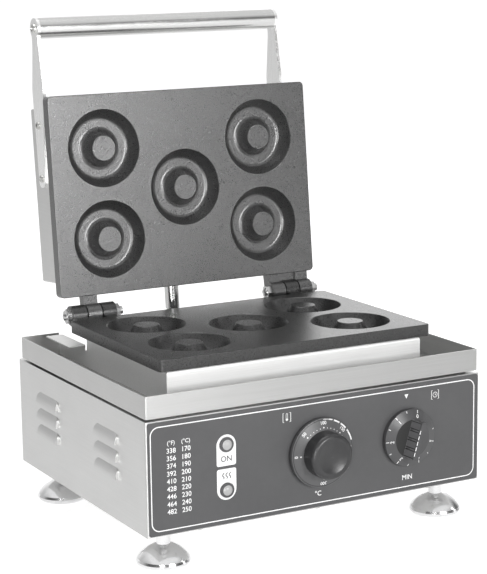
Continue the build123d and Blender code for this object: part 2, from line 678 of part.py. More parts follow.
def hinge_side():
    """A casting's hinges: a pair of lugs with a stop web on the left, one lug with a heel on the right."""
    step = KNUCKLE_LENGTH + KNUCKLE_GAP
    half = step - KNUCKLE_LENGTH / 2
    stop = KNUCKLE_RADIUS + STOP_GAP
    pair = [hinge_lug(-HINGE_MIDDLE - step), hinge_lug(-HINGE_MIDDLE + step)]
    web = block((-HINGE_MIDDLE - half, half - HINGE_MIDDLE), (-HINGE_BEHIND, -stop), (BACK, -STOP_TOP))
    single = hinge_lug(HINGE_MIDDLE)
    reach = KNUCKLE_LENGTH / 2
    heel = block(
        (HINGE_MIDDLE - reach, HINGE_MIDDLE + reach),
        (0, HEEL_LENGTH),
        (KNUCKLE_RADIUS - HEEL_THICKNESS, KNUCKLE_RADIUS),
    )
    bore = Rot(0, 90, 0) * post(PIN_RADIUS + PIN_CLEARANCE, -PLATE_WIDTH / 2, PLATE_WIDTH / 2)
    return [*pair, web, single, Rot(90 - LID_OPEN, 0, 0) * heel], bore


def mould_plate():
    """The casting that both plates share, face up: five ring moulds, their cups, heater bosses and lugs."""
    depth = (-HINGE_BEHIND - PLATE_DEPTH, -HINGE_BEHIND)
    plate = rounded_block(about(PLATE_WIDTH / 2), depth, (BACK, FACE), PLATE_CORNER)
    plate = fillet(plate.faces().sort_by(Axis.Z)[-1].edges(), PLATE_EDGE)
    cup = post(MOULD_RADIUS, CUP_BOTTOM, BACK)
    cup = fillet(cup.faces().sort_by(Axis.Z)[0].edges(), CUP_ROUND)
    boss = post(CLAMP_BOSS_RADIUS, CLAMP_TOP, BACK)
    lugs, bore = hinge_side()
    plate += lugs
    plate += [Pos(x, y) * cup for x, y in MOULD_PLACES]
    plate += [Pos(x, y) * boss for x, y in CLAMP_BOSSES]
    plate -= [Pos(x, y, FACE) * ring_mould() for x, y in MOULD_PLACES]
    plate -= [Pos(x, y) * post(SCREW_TAPPED, CLAMP_TOP, CLAMP_TOP + SCREW_DEPTH) for x, y in CLAMP_BOSSES]
    return plate - bore


def lower_casting():
    """The lower plate: its flat back lies on the collar and is tapped for the screws there."""
    tapped = post(SCREW_TAPPED, COLLAR_SHEET, SCREW_DEPTH)
    return mould_plate() - [LOWER.inverse() * place * tapped for place in plate_screw_places()]


def upper_casting():
    """The upper plate: it has a rim behind, which the cover fits round and is screwed to."""
    rim = rounded_block(
        about(RIM_HALF_WIDTH),
        (PLATE_MID - RIM_HALF_DEPTH, PLATE_MID + RIM_HALF_DEPTH),
        (BACK - RIM_HEIGHT, BACK),
        RIM_CORNER,
    )
    rim -= block(
        (RIM_WALL - RIM_HALF_WIDTH, RIM_HALF_WIDTH - RIM_WALL),
        (PLATE_MID - RIM_HALF_DEPTH + RIM_WALL, PLATE_MID + RIM_HALF_DEPTH - RIM_WALL),
        (BACK - RIM_HEIGHT, BACK),
    )
    tapped = post(COVER_SCREW_RADIUS + THREAD_CLEARANCE, -RIM_SCREW_DEPTH, 0)
    return mould_plate() + (rim - [place * tapped for place in rim_screw_places()])


def rim_screw_places():
    """Screws through the near and far walls of the cover into the rim of a casting, lying face up."""
    level = BACK - RIM_HEIGHT / 2
    near = [Pos(x, PLATE_MID + RIM_HALF_DEPTH, level) * Rot(-90, 0, 0) for x in about(COVER_SCREW_X)]
    far = [Pos(x, PLATE_MID - RIM_HALF_DEPTH, level) * Rot(90, 0, 0) for x in about(COVER_SCREW_X)]
    return near + far


def hinge_span(sign):
    """The outer faces of one hinge, from left to right."""
    half = 1.5 * KNUCKLE_LENGTH + KNUCKLE_GAP
    return sign * HINGE_MIDDLE - half, sign * HINGE_MIDDLE + half


def hinge_pin(sign):
    """Pin through the three knuckles, which ends on the right in a hexagon and a short tail."""
    left, right = hinge_span(sign)
    shank = post(PIN_RADIUS, left - NUT_HEX_HEIGHT, right + PIN_HEAD_HEIGHT + PIN_TAIL)
    return Rot(0, 90, 0) * (shank + hexagon(PIN_HEAD_ACROSS, right, right + PIN_HEAD_HEIGHT))


def hinge_nut(sign):
    """Dome nut on the left end of the hinge bolt."""
    left, _ = hinge_span(sign)
    cap = hexagon(PIN_HEAD_ACROSS, 0, NUT_HEX_HEIGHT)
    cap += Pos(0, 0, NUT_HEX_HEIGHT) * Sphere(NUT_DOME_RADIUS, arc_size1=0, arc_size2=90)
    cap -= post(PIN_RADIUS + THREAD_CLEARANCE, 0, NUT_HEX_HEIGHT)
    return Pos(left, 0, 0) * Rot(0, -90, 0) * cap


def heating_element():
    """Tubular heater bent to run under the four outer cups, with its leads side by side at the hinge."""
    side = HEATER_HALF_WIDTH
    run = MOULD_PITCH_Y
    half = [(HEATER_LEAD_X, HEATER_END), (HEATER_LEAD_X, run), (side, run), (side, -run)]
    route = [(-x, y) for x, y in half] + half[::-1]
    path = FilletPolyline(*route, radius=HEATER_BEND)
    tube = sweep(Plane(path @ 0, z_dir=path % 0) * Circle(HEATER_RADIUS), path)
    pin = Pos(0, HEATER_END, 0) * Rot(-90, 0, 0) * post(HEATER_PIN_RADIUS, 0, HEATER_PIN_LENGTH)
    tube += [Pos(x, 0, 0) * pin for x in (-HEATER_LEAD_X, HEATER_LEAD_X)]
    return Pos(0, PLATE_MID, CUP_BOTTOM - HEATER_RADIUS) * tube


def heater_clamp():
    """Sheet that presses the heater against the cups, screwed to the four bosses."""
    width = 2 * (HEATER_HALF_WIDTH + HEATER_RADIUS + CLAMP_MARGIN)
    depth = 2 * (CLAMP_BOSS_Y + CLAMP_BOSS_RADIUS + CLAMP_BOSS_MARGIN)
    sheet = Pos(0, PLATE_MID, CLAMP_TOP - CLAMP_SHEET) * extrude(
        RectangleRounded(width, depth, CLAMP_CORNER), CLAMP_SHEET
    )
    hole = post(SCREW_HOLE, CLAMP_TOP - CLAMP_SHEET, CLAMP_TOP)
    sheet -= [Pos(x, y) * hole for x, y in CLAMP_BOSSES]
    capillary_pass = post(CLAMP_PASS_RADIUS, CLAMP_TOP - CLAMP_SHEET, CLAMP_TOP)
    return sheet - Pos(CAPILLARY_DROP_X, PLATE_MID) * capillary_pass


def clamp_screws():
    """Screws that hold a heater clamp to its bosses."""
    level = CLAMP_TOP - CLAMP_SHEET
    places = [Pos(x, y, level) * Rot(180, 0, 0) for x, y in CLAMP_BOSSES]
    return group(places, screw(CLAMP_SHEET + SCREW_DEPTH))


def thermostat_bulb():
    """Sensing bulb against the back of the lower casting, and the capillary down to the thermostat."""
    middle = HINGE_Y + PLATE_MID
    level = HINGE_Z + BACK - BULB_RADIUS
    bulb = Pos(0, middle, level) * Rot(0, 90, 0) * post(BULB_RADIUS, BULB_END - BULB_LENGTH, BULB_END)
    back = HOUSING_SHEET + THERMOSTAT_PLATE[2] + THERMOSTAT_SIZE[2]
    path = FilletPolyline(
        (BULB_END, middle, level),
        (CAPILLARY_DROP_X, middle, level),
        (CAPILLARY_DROP_X, middle, CONTROL_Z),
        (CAPILLARY_X, middle, CONTROL_Z),
        (CAPILLARY_X, back, CONTROL_Z),
        radius=CAPILLARY_BEND,
    )
    return bulb + sweep(Plane(path @ 0, z_dir=path % 0) * Circle(CAPILLARY_RADIUS), path)


def upper_cover():
    """Deep stainless box over the back of the upper casting, open towards it."""
    box = block(about(COVER_HALF_WIDTH), (COVER_FAR, COVER_NEAR), (LID_BACK, COVER_TOP))
    bottom = box.faces().sort_by(Axis.Z)[0]
    box = fillet(box.edges() - bottom.edges(), COVER_BEND)
    inner = COVER_HALF_WIDTH - COVER_SHEET
    depth = (COVER_FAR + COVER_SHEET, COVER_NEAR - COVER_SHEET)
    hollow = block(about(inner), depth, (LID_BACK, COVER_TOP - COVER_SHEET))
    hollow = fillet(hollow.edges() - hollow.faces().sort_by(Axis.Z)[0].edges(), COVER_BEND - COVER_SHEET)
    cover = box - hollow
    cover -= Pos(CONDUIT_X, 0, CONDUIT_RISE) * Rot(-90, 0, 0) * post(
        FERRULE_SPIGOT_RADIUS + SCREW_HOLE_CLEARANCE, COVER_NEAR - COVER_SHEET, COVER_NEAR
    )
    hole = post(COVER_SCREW_RADIUS + SCREW_HOLE_CLEARANCE, -COVER_OUTSET, COVER_OUTSET)
    cover -= [Rot(0, 180, 0) * place * hole for place in rim_screw_places()]
    return cover - [place * post(SCREW_HOLE, -ARM_SCREW_LENGTH, 0) for place in arm_screw_places()]


def arm_screw_places():
    """Screws through the handle arms into the cover, pointing inward from the arms' outer faces."""
    outer = COVER_HALF_WIDTH + ARM_THICKNESS
    level = LID_BACK + ARM_SCREW_Z
    return [
        Pos(sign * outer, COVER_FAR + setback, level) * Rot(0, sign * 90, 0)
        for sign in SIDES.values()
        for setback in ARM_SCREW_SETBACKS
    ]


def handle_arm(sign):
    """Flat bar on one side of the cover: a blunt end, a broad shoulder, a neck and a round eye."""
    end, shoulder = COVER_FAR + ARM_LAP, COVER_FAR - ARM_SHOULDER_REACH
    neck = HANDLE_Y + ARM_NECK_LENGTH
    middle = LID_BACK + HANDLE_Z
    outline = FilletPolyline(
        (end, LID_BACK + ARM_END_LOW),
        (end, LID_BACK + ARM_END_HIGH),
        (shoulder, LID_BACK + ARM_SHOULDER_HIGH),
        (neck, middle + ARM_NECK_HALF),
        (HANDLE_Y, middle + ARM_NECK_HALF),
        (HANDLE_Y, middle - ARM_NECK_HALF),
        (neck, middle - ARM_NECK_HALF),
        (shoulder, LID_BACK + ARM_SHOULDER_LOW),
        radius=[
            ARM_ROUND,
            ARM_ROUND,
            ARM_SHOULDER_ROUND,
            ARM_NECK_ROUND,
            0,
            0,
            ARM_NECK_ROUND,
            ARM_SHOULDER_ROUND,
        ],
        close=True,
    )
    face = make_face(outline) + Pos(HANDLE_Y, middle) * Circle(ARM_EYE_RADIUS)
    inner, outer = sorted((sign * COVER_HALF_WIDTH, sign * (COVER_HALF_WIDTH + ARM_THICKNESS)))
    arm = across_x(face, inner, outer)
    arm -= [place * post(SCREW_HOLE, -ARM_THICKNESS, 0) for place in arm_screw_places()]
    eye = post(HANDLE_SCREW_RADIUS + SCREW_HOLE_CLEARANCE, -ARM_THICKNESS, 0)
    return arm - [place * eye for place in handle_screw_places()]


def handle_screw_places():
    """Screws through the eyes of the arms into the ends of the handle tube."""
    outer = COVER_HALF_WIDTH + ARM_THICKNESS
    level = LID_BACK + HANDLE_Z
    return [Pos(sign * outer, HANDLE_Y, level) * Rot(0, sign * 90, 0) for sign in SIDES.values()]


def handle_tube():
    """Round tube between the arms, plugged and tapped at both ends."""
    half = COVER_HALF_WIDTH
    tube = post(HANDLE_RADIUS, -half, half)
    tube -= post(HANDLE_RADIUS - HANDLE_WALL, HANDLE_PLUG - half, half - HANDLE_PLUG)
    tube = Pos(0, HANDLE_Y, LID_BACK + HANDLE_Z) * Rot(0, 90, 0) * tube
    tapped = post(HANDLE_SCREW_RADIUS + THREAD_CLEARANCE, -HANDLE_PLUG, 0)
    return tube - [place * tapped for place in handle_screw_places()]


def arm_nut():
    """Hexagon nut inside the cover on one arm screw, placed from the arm's outer face."""
    top = -ARM_THICKNESS - COVER_SHEET
    return nut(SCREW_NUT_ACROSS, SCREW_RADIUS, top - SCREW_NUT_HEIGHT, top)


def conduit_hose():
    """Corrugated armoured hose from the gland on the tray to the ferrule on the lid, with its bore."""
    length = CONDUIT_END - FERRULE_END
    ribs = int(length / CONDUIT_RIB_PITCH)
    root = CONDUIT_RIB_ROOT / 2
    crest = (CONDUIT_RIB_PITCH - CONDUIT_RIB_CREST) / 2
    start = FERRULE_END + (length - ribs * CONDUIT_RIB_PITCH) / 2
    stations = [(FERRULE_END, CONDUIT_ROOT_RADIUS)]
    for rib in range(ribs):
        low = start + rib * CONDUIT_RIB_PITCH
        stations += [
            (low + root, CONDUIT_ROOT_RADIUS),
            (low + crest, CONDUIT_RADIUS),
            (low + CONDUIT_RIB_PITCH - crest, CONDUIT_RADIUS),
            (low + CONDUIT_RIB_PITCH - root, CONDUIT_ROOT_RADIUS),
        ]
    stations.append((CONDUIT_END, CONDUIT_ROOT_RADIUS))
    hose = loft([Pos(0, 0, z) * Circle(radius) for z, radius in stations], ruled=True)
    return hose - post(CONDUIT_BORE_RADIUS, FERRULE_END, CONDUIT_END)


def conduit_ferrule():
    """Plain chrome sleeve that holds the hose to the lid, with a spigot through the cover's near wall."""
    sleeve = post(FERRULE_RADIUS, COVER_NEAR, FERRULE_END)
    sleeve = chamfer(sleeve.faces().sort_by(Axis.Z)[-1].edges(), FERRULE_CHAMFER)
    sleeve += post(FERRULE_SPIGOT_RADIUS, COVER_NEAR - FERRULE_SPIGOT_LENGTH, COVER_NEAR)
    return sleeve - post(CONDUIT_BORE_RADIUS, COVER_NEAR - FERRULE_SPIGOT_LENGTH, FERRULE_END)


def conduit_nut(high):
    """Lock nut on a conduit spigot, below the sheet that the spigot passes."""
    return nut(CONDUIT_NUT_ACROSS, FERRULE_SPIGOT_RADIUS, high - CONDUIT_NUT_HEIGHT, high)


def conduit_gland():
    """Gland on the tray floor: the hose leans into its socket, and its spigot passes the floor."""
    body = post(GLAND_RADIUS, 0, GLAND_HEIGHT)
    body = fillet(body.faces().sort_by(Axis.Z)[-1].edges(), GLAND_ROUND)
    body += post(FERRULE_SPIGOT_RADIUS, -GLAND_SPIGOT_LENGTH, 0)
    body -= post(CONDUIT_BORE_RADIUS, -GLAND_SPIGOT_LENGTH, GLAND_HEIGHT)
    socket = post(CONDUIT_RADIUS + GLAND_FIT, FERRULE_END, CONDUIT_END)
    return CONDUIT_FLOOR * body - CONDUIT * socket


def shaft():
    """Control shaft, round where it turns and flatted where the knob grips it."""
    rod = post(SHAFT_RADIUS, -CONTROL_BACK - SHAFT_IN_BODY, CONTROL_GAP + SHAFT_GRIP)
    return rod - shaft_flat()


def shaft_flat():
    """The segment that the flat takes off the shaft inside its knob."""
    return block(
        about(SHAFT_RADIUS), (SHAFT_FLAT, SHAFT_RADIUS), (CONTROL_GAP, CONTROL_GAP + SHAFT_GRIP)
    )


def knob_bore():
    """The D-shaped hole in a knob that fits its shaft."""
    return post(SHAFT_RADIUS, CONTROL_GAP, CONTROL_GAP + SHAFT_GRIP) - shaft_flat()


def temperature_dial():
    """Turned dial: a thin scale flange, a deep hub with a rolled edge and a dished end."""
    face = CONTROL_GAP + DIAL_FLANGE_THICKNESS
    top = face + DIAL_HUB_HEIGHT
    flange = post(DIAL_FLANGE_RADIUS, CONTROL_GAP, face)
    flange = fillet(flange.faces().sort_by(Axis.Z)[-1].edges(), DIAL_FLANGE_ROUND)
    hub = post(DIAL_HUB_RADIUS, face, top)
    hub = fillet(hub.faces().sort_by(Axis.Z)[-1].edges(), DIAL_HUB_ROUND)
    bowl = (DIAL_DISH_RADIUS**2 + DIAL_DISH_DEPTH**2) / (2 * DIAL_DISH_DEPTH)
    dish = Pos(0, 0, top - DIAL_DISH_DEPTH + bowl) * Sphere(bowl)
    return flange + hub - dish - knob_bore()


def timer_knob():
    """Skirted knob: a cone that carries the scale, and a tapered bar with cross grooves to turn it by."""
    low = CONTROL_GAP
    face = low + TIMER_SKIRT_HEIGHT
    top = face + TIMER_GRIP_HEIGHT
    rim = (TIMER_SKIRT_RADIUS, low + TIMER_RIM_HEIGHT)
    skirt = make_face(
        Polyline((0, face), (0, low), (TIMER_SKIRT_RADIUS, low), rim, (TIMER_SKIRT_TOP, face), close=True)
    )
    skirt = revolve(Plane.XZ * skirt, Axis.Z)
    base = TIMER_GRIP_WIDTH / 2
    crest = TIMER_GRIP_TAPER / 2
    right = [(base, low), (base, face), (crest, top)]
    left = [(-x, y) for x, y in reversed(right)]
    bar = make_face(Polyline(*right, *left, close=True))
    bar = extrude(Plane.YZ * bar, TIMER_SKIRT_RADIUS, both=True) & post(TIMER_GRIP_RADIUS, low, top)
    groove = block(
        (-TIMER_GROOVE_WIDTH / 2, TIMER_GROOVE_WIDTH / 2), (-base, TIMER_GROOVE_DEPTH - base), (face, top)
    )
    first = -(TIMER_GROOVES - 1) / 2
    grooves = [Pos((first + count) * TIMER_GROOVE_PITCH, 0, 0) * groove for count in range(TIMER_GROOVES)]
    bar -= [*grooves, *[Rot(0, 0, 180) * cut for cut in grooves]]
    return Rot(0, 0, TIMER_GRIP_ANGLE) * (skirt + bar) - knob_bore()


def shaft_bearing():
    """The hole in a control's body that its shaft turns in."""
    return post(SHAFT_RADIUS + SHAFT_CLEARANCE, -CONTROL_BACK - SHAFT_IN_BODY - CONTROL_GAP, 0)


def thermostat_body():
    """Thermostat behind the panel: a fixing plate against the housing front and a boxed switch."""
    plate_wide, plate_high, plate_thick = THERMOSTAT_PLATE
    wide, high, deep = THERMOSTAT_SIZE
    back = -CONTROL_BACK - plate_thick
    plate = block(about(plate_wide / 2), about(plate_high / 2), (back, -CONTROL_BACK))
    body = rounded_block(about(wide / 2), about(high / 2), (back - deep, back), plate_thick)
    return plate + body - shaft_bearing()


def timer_body():
    """Clockwork timer behind the panel: a fixing plate and a round can."""
    plate_wide, plate_high, plate_thick = TIMER_PLATE
    back = -CONTROL_BACK - plate_thick
    plate = block(about(plate_wide / 2), about(plate_high / 2), (back, -CONTROL_BACK))
    return plate + post(TIMER_BODY_RADIUS, back - TIMER_BODY_DEPTH, back) - shaft_bearing()


def control_panel():
    """Thin dark panel that covers the housing front, with rounded corners."""
    half = HOUSING_WIDTH / 2 - PANEL_INSET
    high = HOUSING_HEIGHT - 2 * PANEL_EDGE
    sheet = extrude(RectangleRounded(2 * half, high, PANEL_CORNER), PANEL_SHEET)
    panel = Pos(0, 0, FOOT_HEIGHT + HOUSING_HEIGHT / 2) * Rot(90, 0, 0) * sheet
    return panel - panel_holes()


def lamp_bezel():
    """Pilot lamp holder: a round bezel on the panel and a barrel through it, recessed for the lens."""
    ring = post(LAMP_BEZEL_RADIUS, 0, LAMP_BEZEL_HEIGHT)
    ring = fillet(ring.faces().sort_by(Axis.Z)[-1].edges(), LAMP_BEZEL_ROUND)
    ring += post(LAMP_BARREL_RADIUS, -LAMP_DEPTH, 0)
    return ring - post(LAMP_LENS_RADIUS, LAMP_BEZEL_HEIGHT - LAMP_SEAT_DEPTH, LAMP_BEZEL_HEIGHT)


def lamp_lens():
    """Domed lens seated in its bezel."""
    low = LAMP_BEZEL_HEIGHT - LAMP_SEAT_DEPTH
    bowl = (LAMP_LENS_RADIUS**2 + LAMP_LENS_RISE**2) / (2 * LAMP_LENS_RISE)
    dome = Pos(0, 0, LAMP_BEZEL_HEIGHT + LAMP_LENS_RISE - bowl) * Sphere(bowl)
    return dome & post(LAMP_LENS_RADIUS, low, LAMP_BEZEL_HEIGHT + bowl)


def cable_gland():
    """Supply inlet: a hexagon flange on the rear panel, a domed cap and a thread, all bored through."""
    body = hexagon(INLET_FLANGE_ACROSS, 0, INLET_FLANGE_LENGTH)
    cap = post(INLET_DOME_RADIUS, INLET_FLANGE_LENGTH, INLET_DOME_LENGTH)
    cap = fillet(cap.faces().sort_by(Axis.Z)[-1].edges(), INLET_DOME_RADIUS - INLET_BORE / 2 - INLET_MOUTH)
    end = -HOUSING_SHEET - INLET_INNER_LENGTH
    return body + cap + post(INLET_RADIUS, end, 0) - post(INLET_BORE / 2, end, INLET_DOME_LENGTH)


def cable_gland_nut():
    """Lock nut inside the rear panel."""
    return nut(INLET_FLANGE_ACROSS, INLET_RADIUS, -HOUSING_SHEET - INLET_NUT_HEIGHT, -HOUSING_SHEET)


def terminal_block():
    """Supply terminals on the bottom plate, behind the inlet: one block with a bored pole for each wire."""
    floor = FOOT_HEIGHT + 2 * HOUSING_SHEET
    half = TERMINAL_HEIGHT / 2
    body = block(about(TERMINAL_POLES * TERMINAL_PITCH / 2), about(TERMINAL_DEPTH / 2), (0, half))
    pole = post(TERMINAL_POLE_RADIUS, half, TERMINAL_HEIGHT)
    bore = Rot(90, 0, 0) * post(TERMINAL_BORE_RADIUS, -TERMINAL_DEPTH, TERMINAL_DEPTH)
    first = -(TERMINAL_POLES - 1) / 2
    places = [Pos((first + count) * TERMINAL_PITCH, 0, 0) for count in range(TERMINAL_POLES)]
    body += [place * pole for place in places]
    body -= [place * Pos(0, 0, half / 2) * bore for place in places]
    return Pos(INLET_X, HOUSING_DEPTH - TERMINAL_SETBACK, floor) * body


def base_pieces():
    """Everything that stands still: the housing, the tray, the lower casting and what is inside."""
    inside = FOOT_HEIGHT + 2 * HOUSING_SHEET
    bottom_places = [place * Rot(180, 0, 0) for place in bottom_screw_places()]
    plate_places = [place * Rot(180, 0, 0) for place in plate_screw_places()]
    pieces = {
        "housing_wrap": housing_wrap(),
        "rear_panel": rear_panel(),
        "bottom_plate": bottom_plate(),
        "bottom_screws": group(bottom_places, screw(2 * HOUSING_SHEET)),
        "rear_screws": group(rear_screw_places(), screw(2 * HOUSING_SHEET)),
        "foot_sockets": group(foot_places().values(), foot_socket()),
        "drip_tray": drip_tray(),
        "plate_collar": plate_collar(),
        "lower_plate": LOWER * lower_casting(),
        "plate_screws": group(plate_places, screw(SCREW_DEPTH)),
        "lower_heating_element": LOWER * heating_element(),
        "lower_heater_clamp": LOWER * heater_clamp(),
        "lower_clamp_screws": LOWER * clamp_screws(),
        "hinge_pin_left": LOWER * hinge_pin(SIDES["left"]),
        "hinge_nut_left": LOWER * hinge_nut(SIDES["left"]),
        "thermostat_bulb": thermostat_bulb(),
        "conduit_gland": conduit_gland(),
        "conduit_gland_nut": CONDUIT_FLOOR * conduit_nut(-TRAY_SHEET),
        "conduit_hose": CONDUIT * conduit_hose(),
        "control_panel": control_panel(),
        "thermostat_body": on_panel(DIAL_X) * thermostat_body(),
        "timer_body": on_panel(TIMER_X) * timer_body(),
        "cable_gland": INLET * cable_gland(),
        "cable_gland_nut": INLET * cable_gland_nut(),
        "terminal_block": terminal_block(),
    }
    for name, place in lamp_places().items():
        pieces[f"{name}_lamp_bezel"] = place * lamp_bezel()
        pieces[f"{name}_lamp_lens"] = place * lamp_lens()
    return pieces


def lid_pieces():
    """Everything that swings with the upper casting."""
    cover_places = [place * Pos(0, 0, COVER_OUTSET) for place in rim_screw_places()]
    cover_screw = screw(
        COVER_OUTSET + RIM_SCREW_DEPTH, COVER_SCREW_RADIUS, COVER_SCREW_HEAD_RADIUS, COVER_SCREW_HEAD_HEIGHT
    )
    end_screw_length = ARM_THICKNESS + HANDLE_PLUG / 2
    end_screw = screw(
        end_screw_length, HANDLE_SCREW_RADIUS, HANDLE_SCREW_HEAD_RADIUS, HANDLE_SCREW_HEAD_HEIGHT
    )
    pieces = {
        "upper_plate": UPPER * upper_casting(),
        "upper_heating_element": UPPER * heating_element(),
        "upper_heater_clamp": UPPER * heater_clamp(),
        "upper_clamp_screws": UPPER * clamp_screws(),
        "upper_cover": LID * upper_cover(),
        "cover_screws": UPPER * group(cover_places, cover_screw),
        "handle_tube": LID * handle_tube(),
        "handle_end_screws": LID * group(handle_screw_places(), end_screw),
        "arm_screws": LID * group(arm_screw_places(), screw(ARM_SCREW_LENGTH)),
        "arm_nuts": LID * group(arm_screw_places(), arm_nut()),
        "conduit_ferrule": CONDUIT * conduit_ferrule(),
        "ferrule_nut": CONDUIT * conduit_nut(COVER_NEAR - COVER_SHEET),
        "hinge_pin_right": LID * hinge_pin(SIDES["right"]),
        "hinge_nut_right": LID * hinge_nut(SIDES["right"]),
    }
    for side, sign in SIDES.items():
        pieces[f"handle_arm_{side}"] = LID * handle_arm(sign)
    return pieces


def turning_pieces():
    """The two knobs on their shafts, and the four feet on their studs."""
    pieces = {
        "temperature_dial": on_panel(DIAL_X) * temperature_dial(),
        "thermostat_shaft": on_panel(DIAL_X) * shaft(),
        "timer_knob": on_panel(TIMER_X) * timer_knob(),
        "timer_shaft": on_panel(TIMER_X) * shaft(),
    }
    for name, place in foot_places().items():
        pieces[f"foot_{name}"] = place * foot()
        pieces[f"foot_stud_{name}"] = place * foot_stud()
    return pieces


os.makedirs("parts", exist_ok=True)
for name, piece in {**base_pieces(), **lid_pieces(), **turning_pieces()}.items():
    export_step(Pos(0, -DEPTH_MIDDLE, 0) * piece, f"parts/{name}.step")
print(f"lid hinge at y {HINGE_Y - DEPTH_MIDDLE:.3f}, z {HINGE_Z:.3f}")
print(f"controls at x {DIAL_X} and {TIMER_X}, z {CONTROL_Z}")
print(f"panel face at y {-PANEL_SHEET - DEPTH_MIDDLE:.3f}, housing front at y {-DEPTH_MIDDLE:.3f}")
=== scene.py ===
from math import cos, floor, pi, radians, sin

import bmesh
import bpy
from mathutils import Matrix, Vector


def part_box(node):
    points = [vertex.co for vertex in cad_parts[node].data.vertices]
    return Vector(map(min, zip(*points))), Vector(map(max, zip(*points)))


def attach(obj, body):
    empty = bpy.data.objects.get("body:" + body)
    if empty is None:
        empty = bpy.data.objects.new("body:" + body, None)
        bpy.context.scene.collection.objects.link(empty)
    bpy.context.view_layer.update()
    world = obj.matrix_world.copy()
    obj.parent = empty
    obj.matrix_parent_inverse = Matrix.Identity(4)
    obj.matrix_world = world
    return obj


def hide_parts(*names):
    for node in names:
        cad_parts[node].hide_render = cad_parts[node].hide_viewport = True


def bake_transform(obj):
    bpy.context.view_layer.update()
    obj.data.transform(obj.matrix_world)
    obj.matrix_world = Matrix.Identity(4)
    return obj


# Mini donut maker: finishes, printed marks and fine detail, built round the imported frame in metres.
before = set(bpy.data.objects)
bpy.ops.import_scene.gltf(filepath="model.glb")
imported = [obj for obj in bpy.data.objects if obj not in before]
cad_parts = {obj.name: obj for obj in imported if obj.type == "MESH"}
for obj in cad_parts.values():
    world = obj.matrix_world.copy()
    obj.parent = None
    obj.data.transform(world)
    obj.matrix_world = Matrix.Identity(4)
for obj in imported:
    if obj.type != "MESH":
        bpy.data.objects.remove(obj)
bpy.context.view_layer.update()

# Levelling feet: four chromed bells, each with a plain stem bored for its steel stud.
# The plating is bright, with the faint wave of a cast surface and a thin film of handling.
MM = 0.001
FEET = ("front_left", "front_right", "rear_left", "rear_right")


def shader_node(tree, kind, sockets=None, **fields):
    """Adds one node: fields are its own settings, sockets hold input values or the outputs that feed them."""
    made = tree.nodes.new(kind)
    for name, value in fields.items():
        setattr(made, name, value)
    for name, value in (sockets or {}).items():
        if isinstance(value, bpy.types.NodeSocket):
            tree.links.new(value, made.inputs[name])
        else:
            made.inputs[name].default_value = value
    return made


def blank_material(name, **sockets):
    """A material with one Principled shader, and the piece's own place in metres to drive its patterns."""
    material = bpy.data.materials.new(name)
    material.use_nodes = True
    tree = material.node_tree
    shader = tree.nodes["Principled BSDF"]
    for socket, value in sockets.items():
        shader.inputs[socket.replace("_", " ")].default_value = value
    place = shader_node(tree, "ShaderNodeTexCoord").outputs["Object"]
    return material, tree, shader, place


def noise(tree, place, size, detail=2.0, stretch=(1, 1, 1)):
    """Noise whose patches are about one size wide, in metres, drawn out by the stretch of each axis."""
    scale = [1 / (size * share) for share in stretch]
    spread = shader_node(tree, "ShaderNodeVectorMath", {0: place, 1: scale}, operation="MULTIPLY").outputs[0]
    sockets = {"Vector": spread, "Scale": 1.0, "Detail": detail}
    return shader_node(tree, "ShaderNodeTexNoise", sockets).outputs[0]


def span(tree, value, low, high, start=0.3, end=0.7):
    """Maps the middle of a noise onto the values between low and high."""
    sockets = {0: value, 1: start, 2: end, 3: low, 4: high}
    return shader_node(tree, "ShaderNodeMapRange", sockets).outputs[0]


def maths(tree, operation, *values):
    """The result of one operation on numbers."""
    return shader_node(tree, "ShaderNodeMath", dict(enumerate(values)), operation=operation).outputs[0]


def between(tree, share, first, last):
    """A number between two others, by a share from 0 to 1."""
    return shader_node(tree, "ShaderNodeMix", {0: share, 2: first, 3: last}, data_type="FLOAT").outputs[0]


def tint(tree, value, dark, pale):
    """A colour between two others, by a value from 0 to 1; each is an output or three numbers."""
    dark, pale = [shade if isinstance(shade, bpy.types.NodeSocket) else (*shade, 1) for shade in (dark, pale)]
    return shader_node(tree, "ShaderNodeMix", {0: value, 6: dark, 7: pale}, data_type="RGBA").outputs[2]


def feed(tree, shader, **sources):
    """Links outputs to a shader's inputs."""
    for socket, source in sources.items():
        tree.links.new(source, shader.inputs[socket.replace("_", " ")])


def bump(tree, shader, height, depth):
    """A bump of that depth in metres from a height between 0 and 1."""
    made = shader_node(tree, "ShaderNodeBump", {"Strength": 1.0, "Distance": depth, "Height": height})
    tree.links.new(made.outputs[0], shader.inputs["Normal"])


def finish(material, *nodes):
    """Gives CAD nodes their finish."""
    for node in nodes:
        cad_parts[node].data.materials.clear()
        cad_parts[node].data.materials.append(material)


def handling_group():
    """Shared film of handling: soft patches and finer spots, as one mask."""
    group = bpy.data.node_groups.new("handling film", "ShaderNodeTree")
    group.interface.new_socket("Place", in_out="INPUT", socket_type="NodeSocketVector")
    group.interface.new_socket("Film", in_out="OUTPUT", socket_type="NodeSocketFloat")
    start = shader_node(group, "NodeGroupInput").outputs["Place"]
    patches = noise(group, start, 0.045, 3.0)
    spots = noise(group, start, 0.006, 2.0)
    film = span(group, between(group, 0.3, patches, spots), 0.0, 1.0)
    shader_node(group, "NodeGroupOutput", {"Film": film})
    return group


HANDLING = handling_group()


def handling_film(tree, place):
    """The film's mask at this material's place."""
    return shader_node(tree, "ShaderNodeGroup", {"Place": place}, node_tree=HANDLING).outputs["Film"]


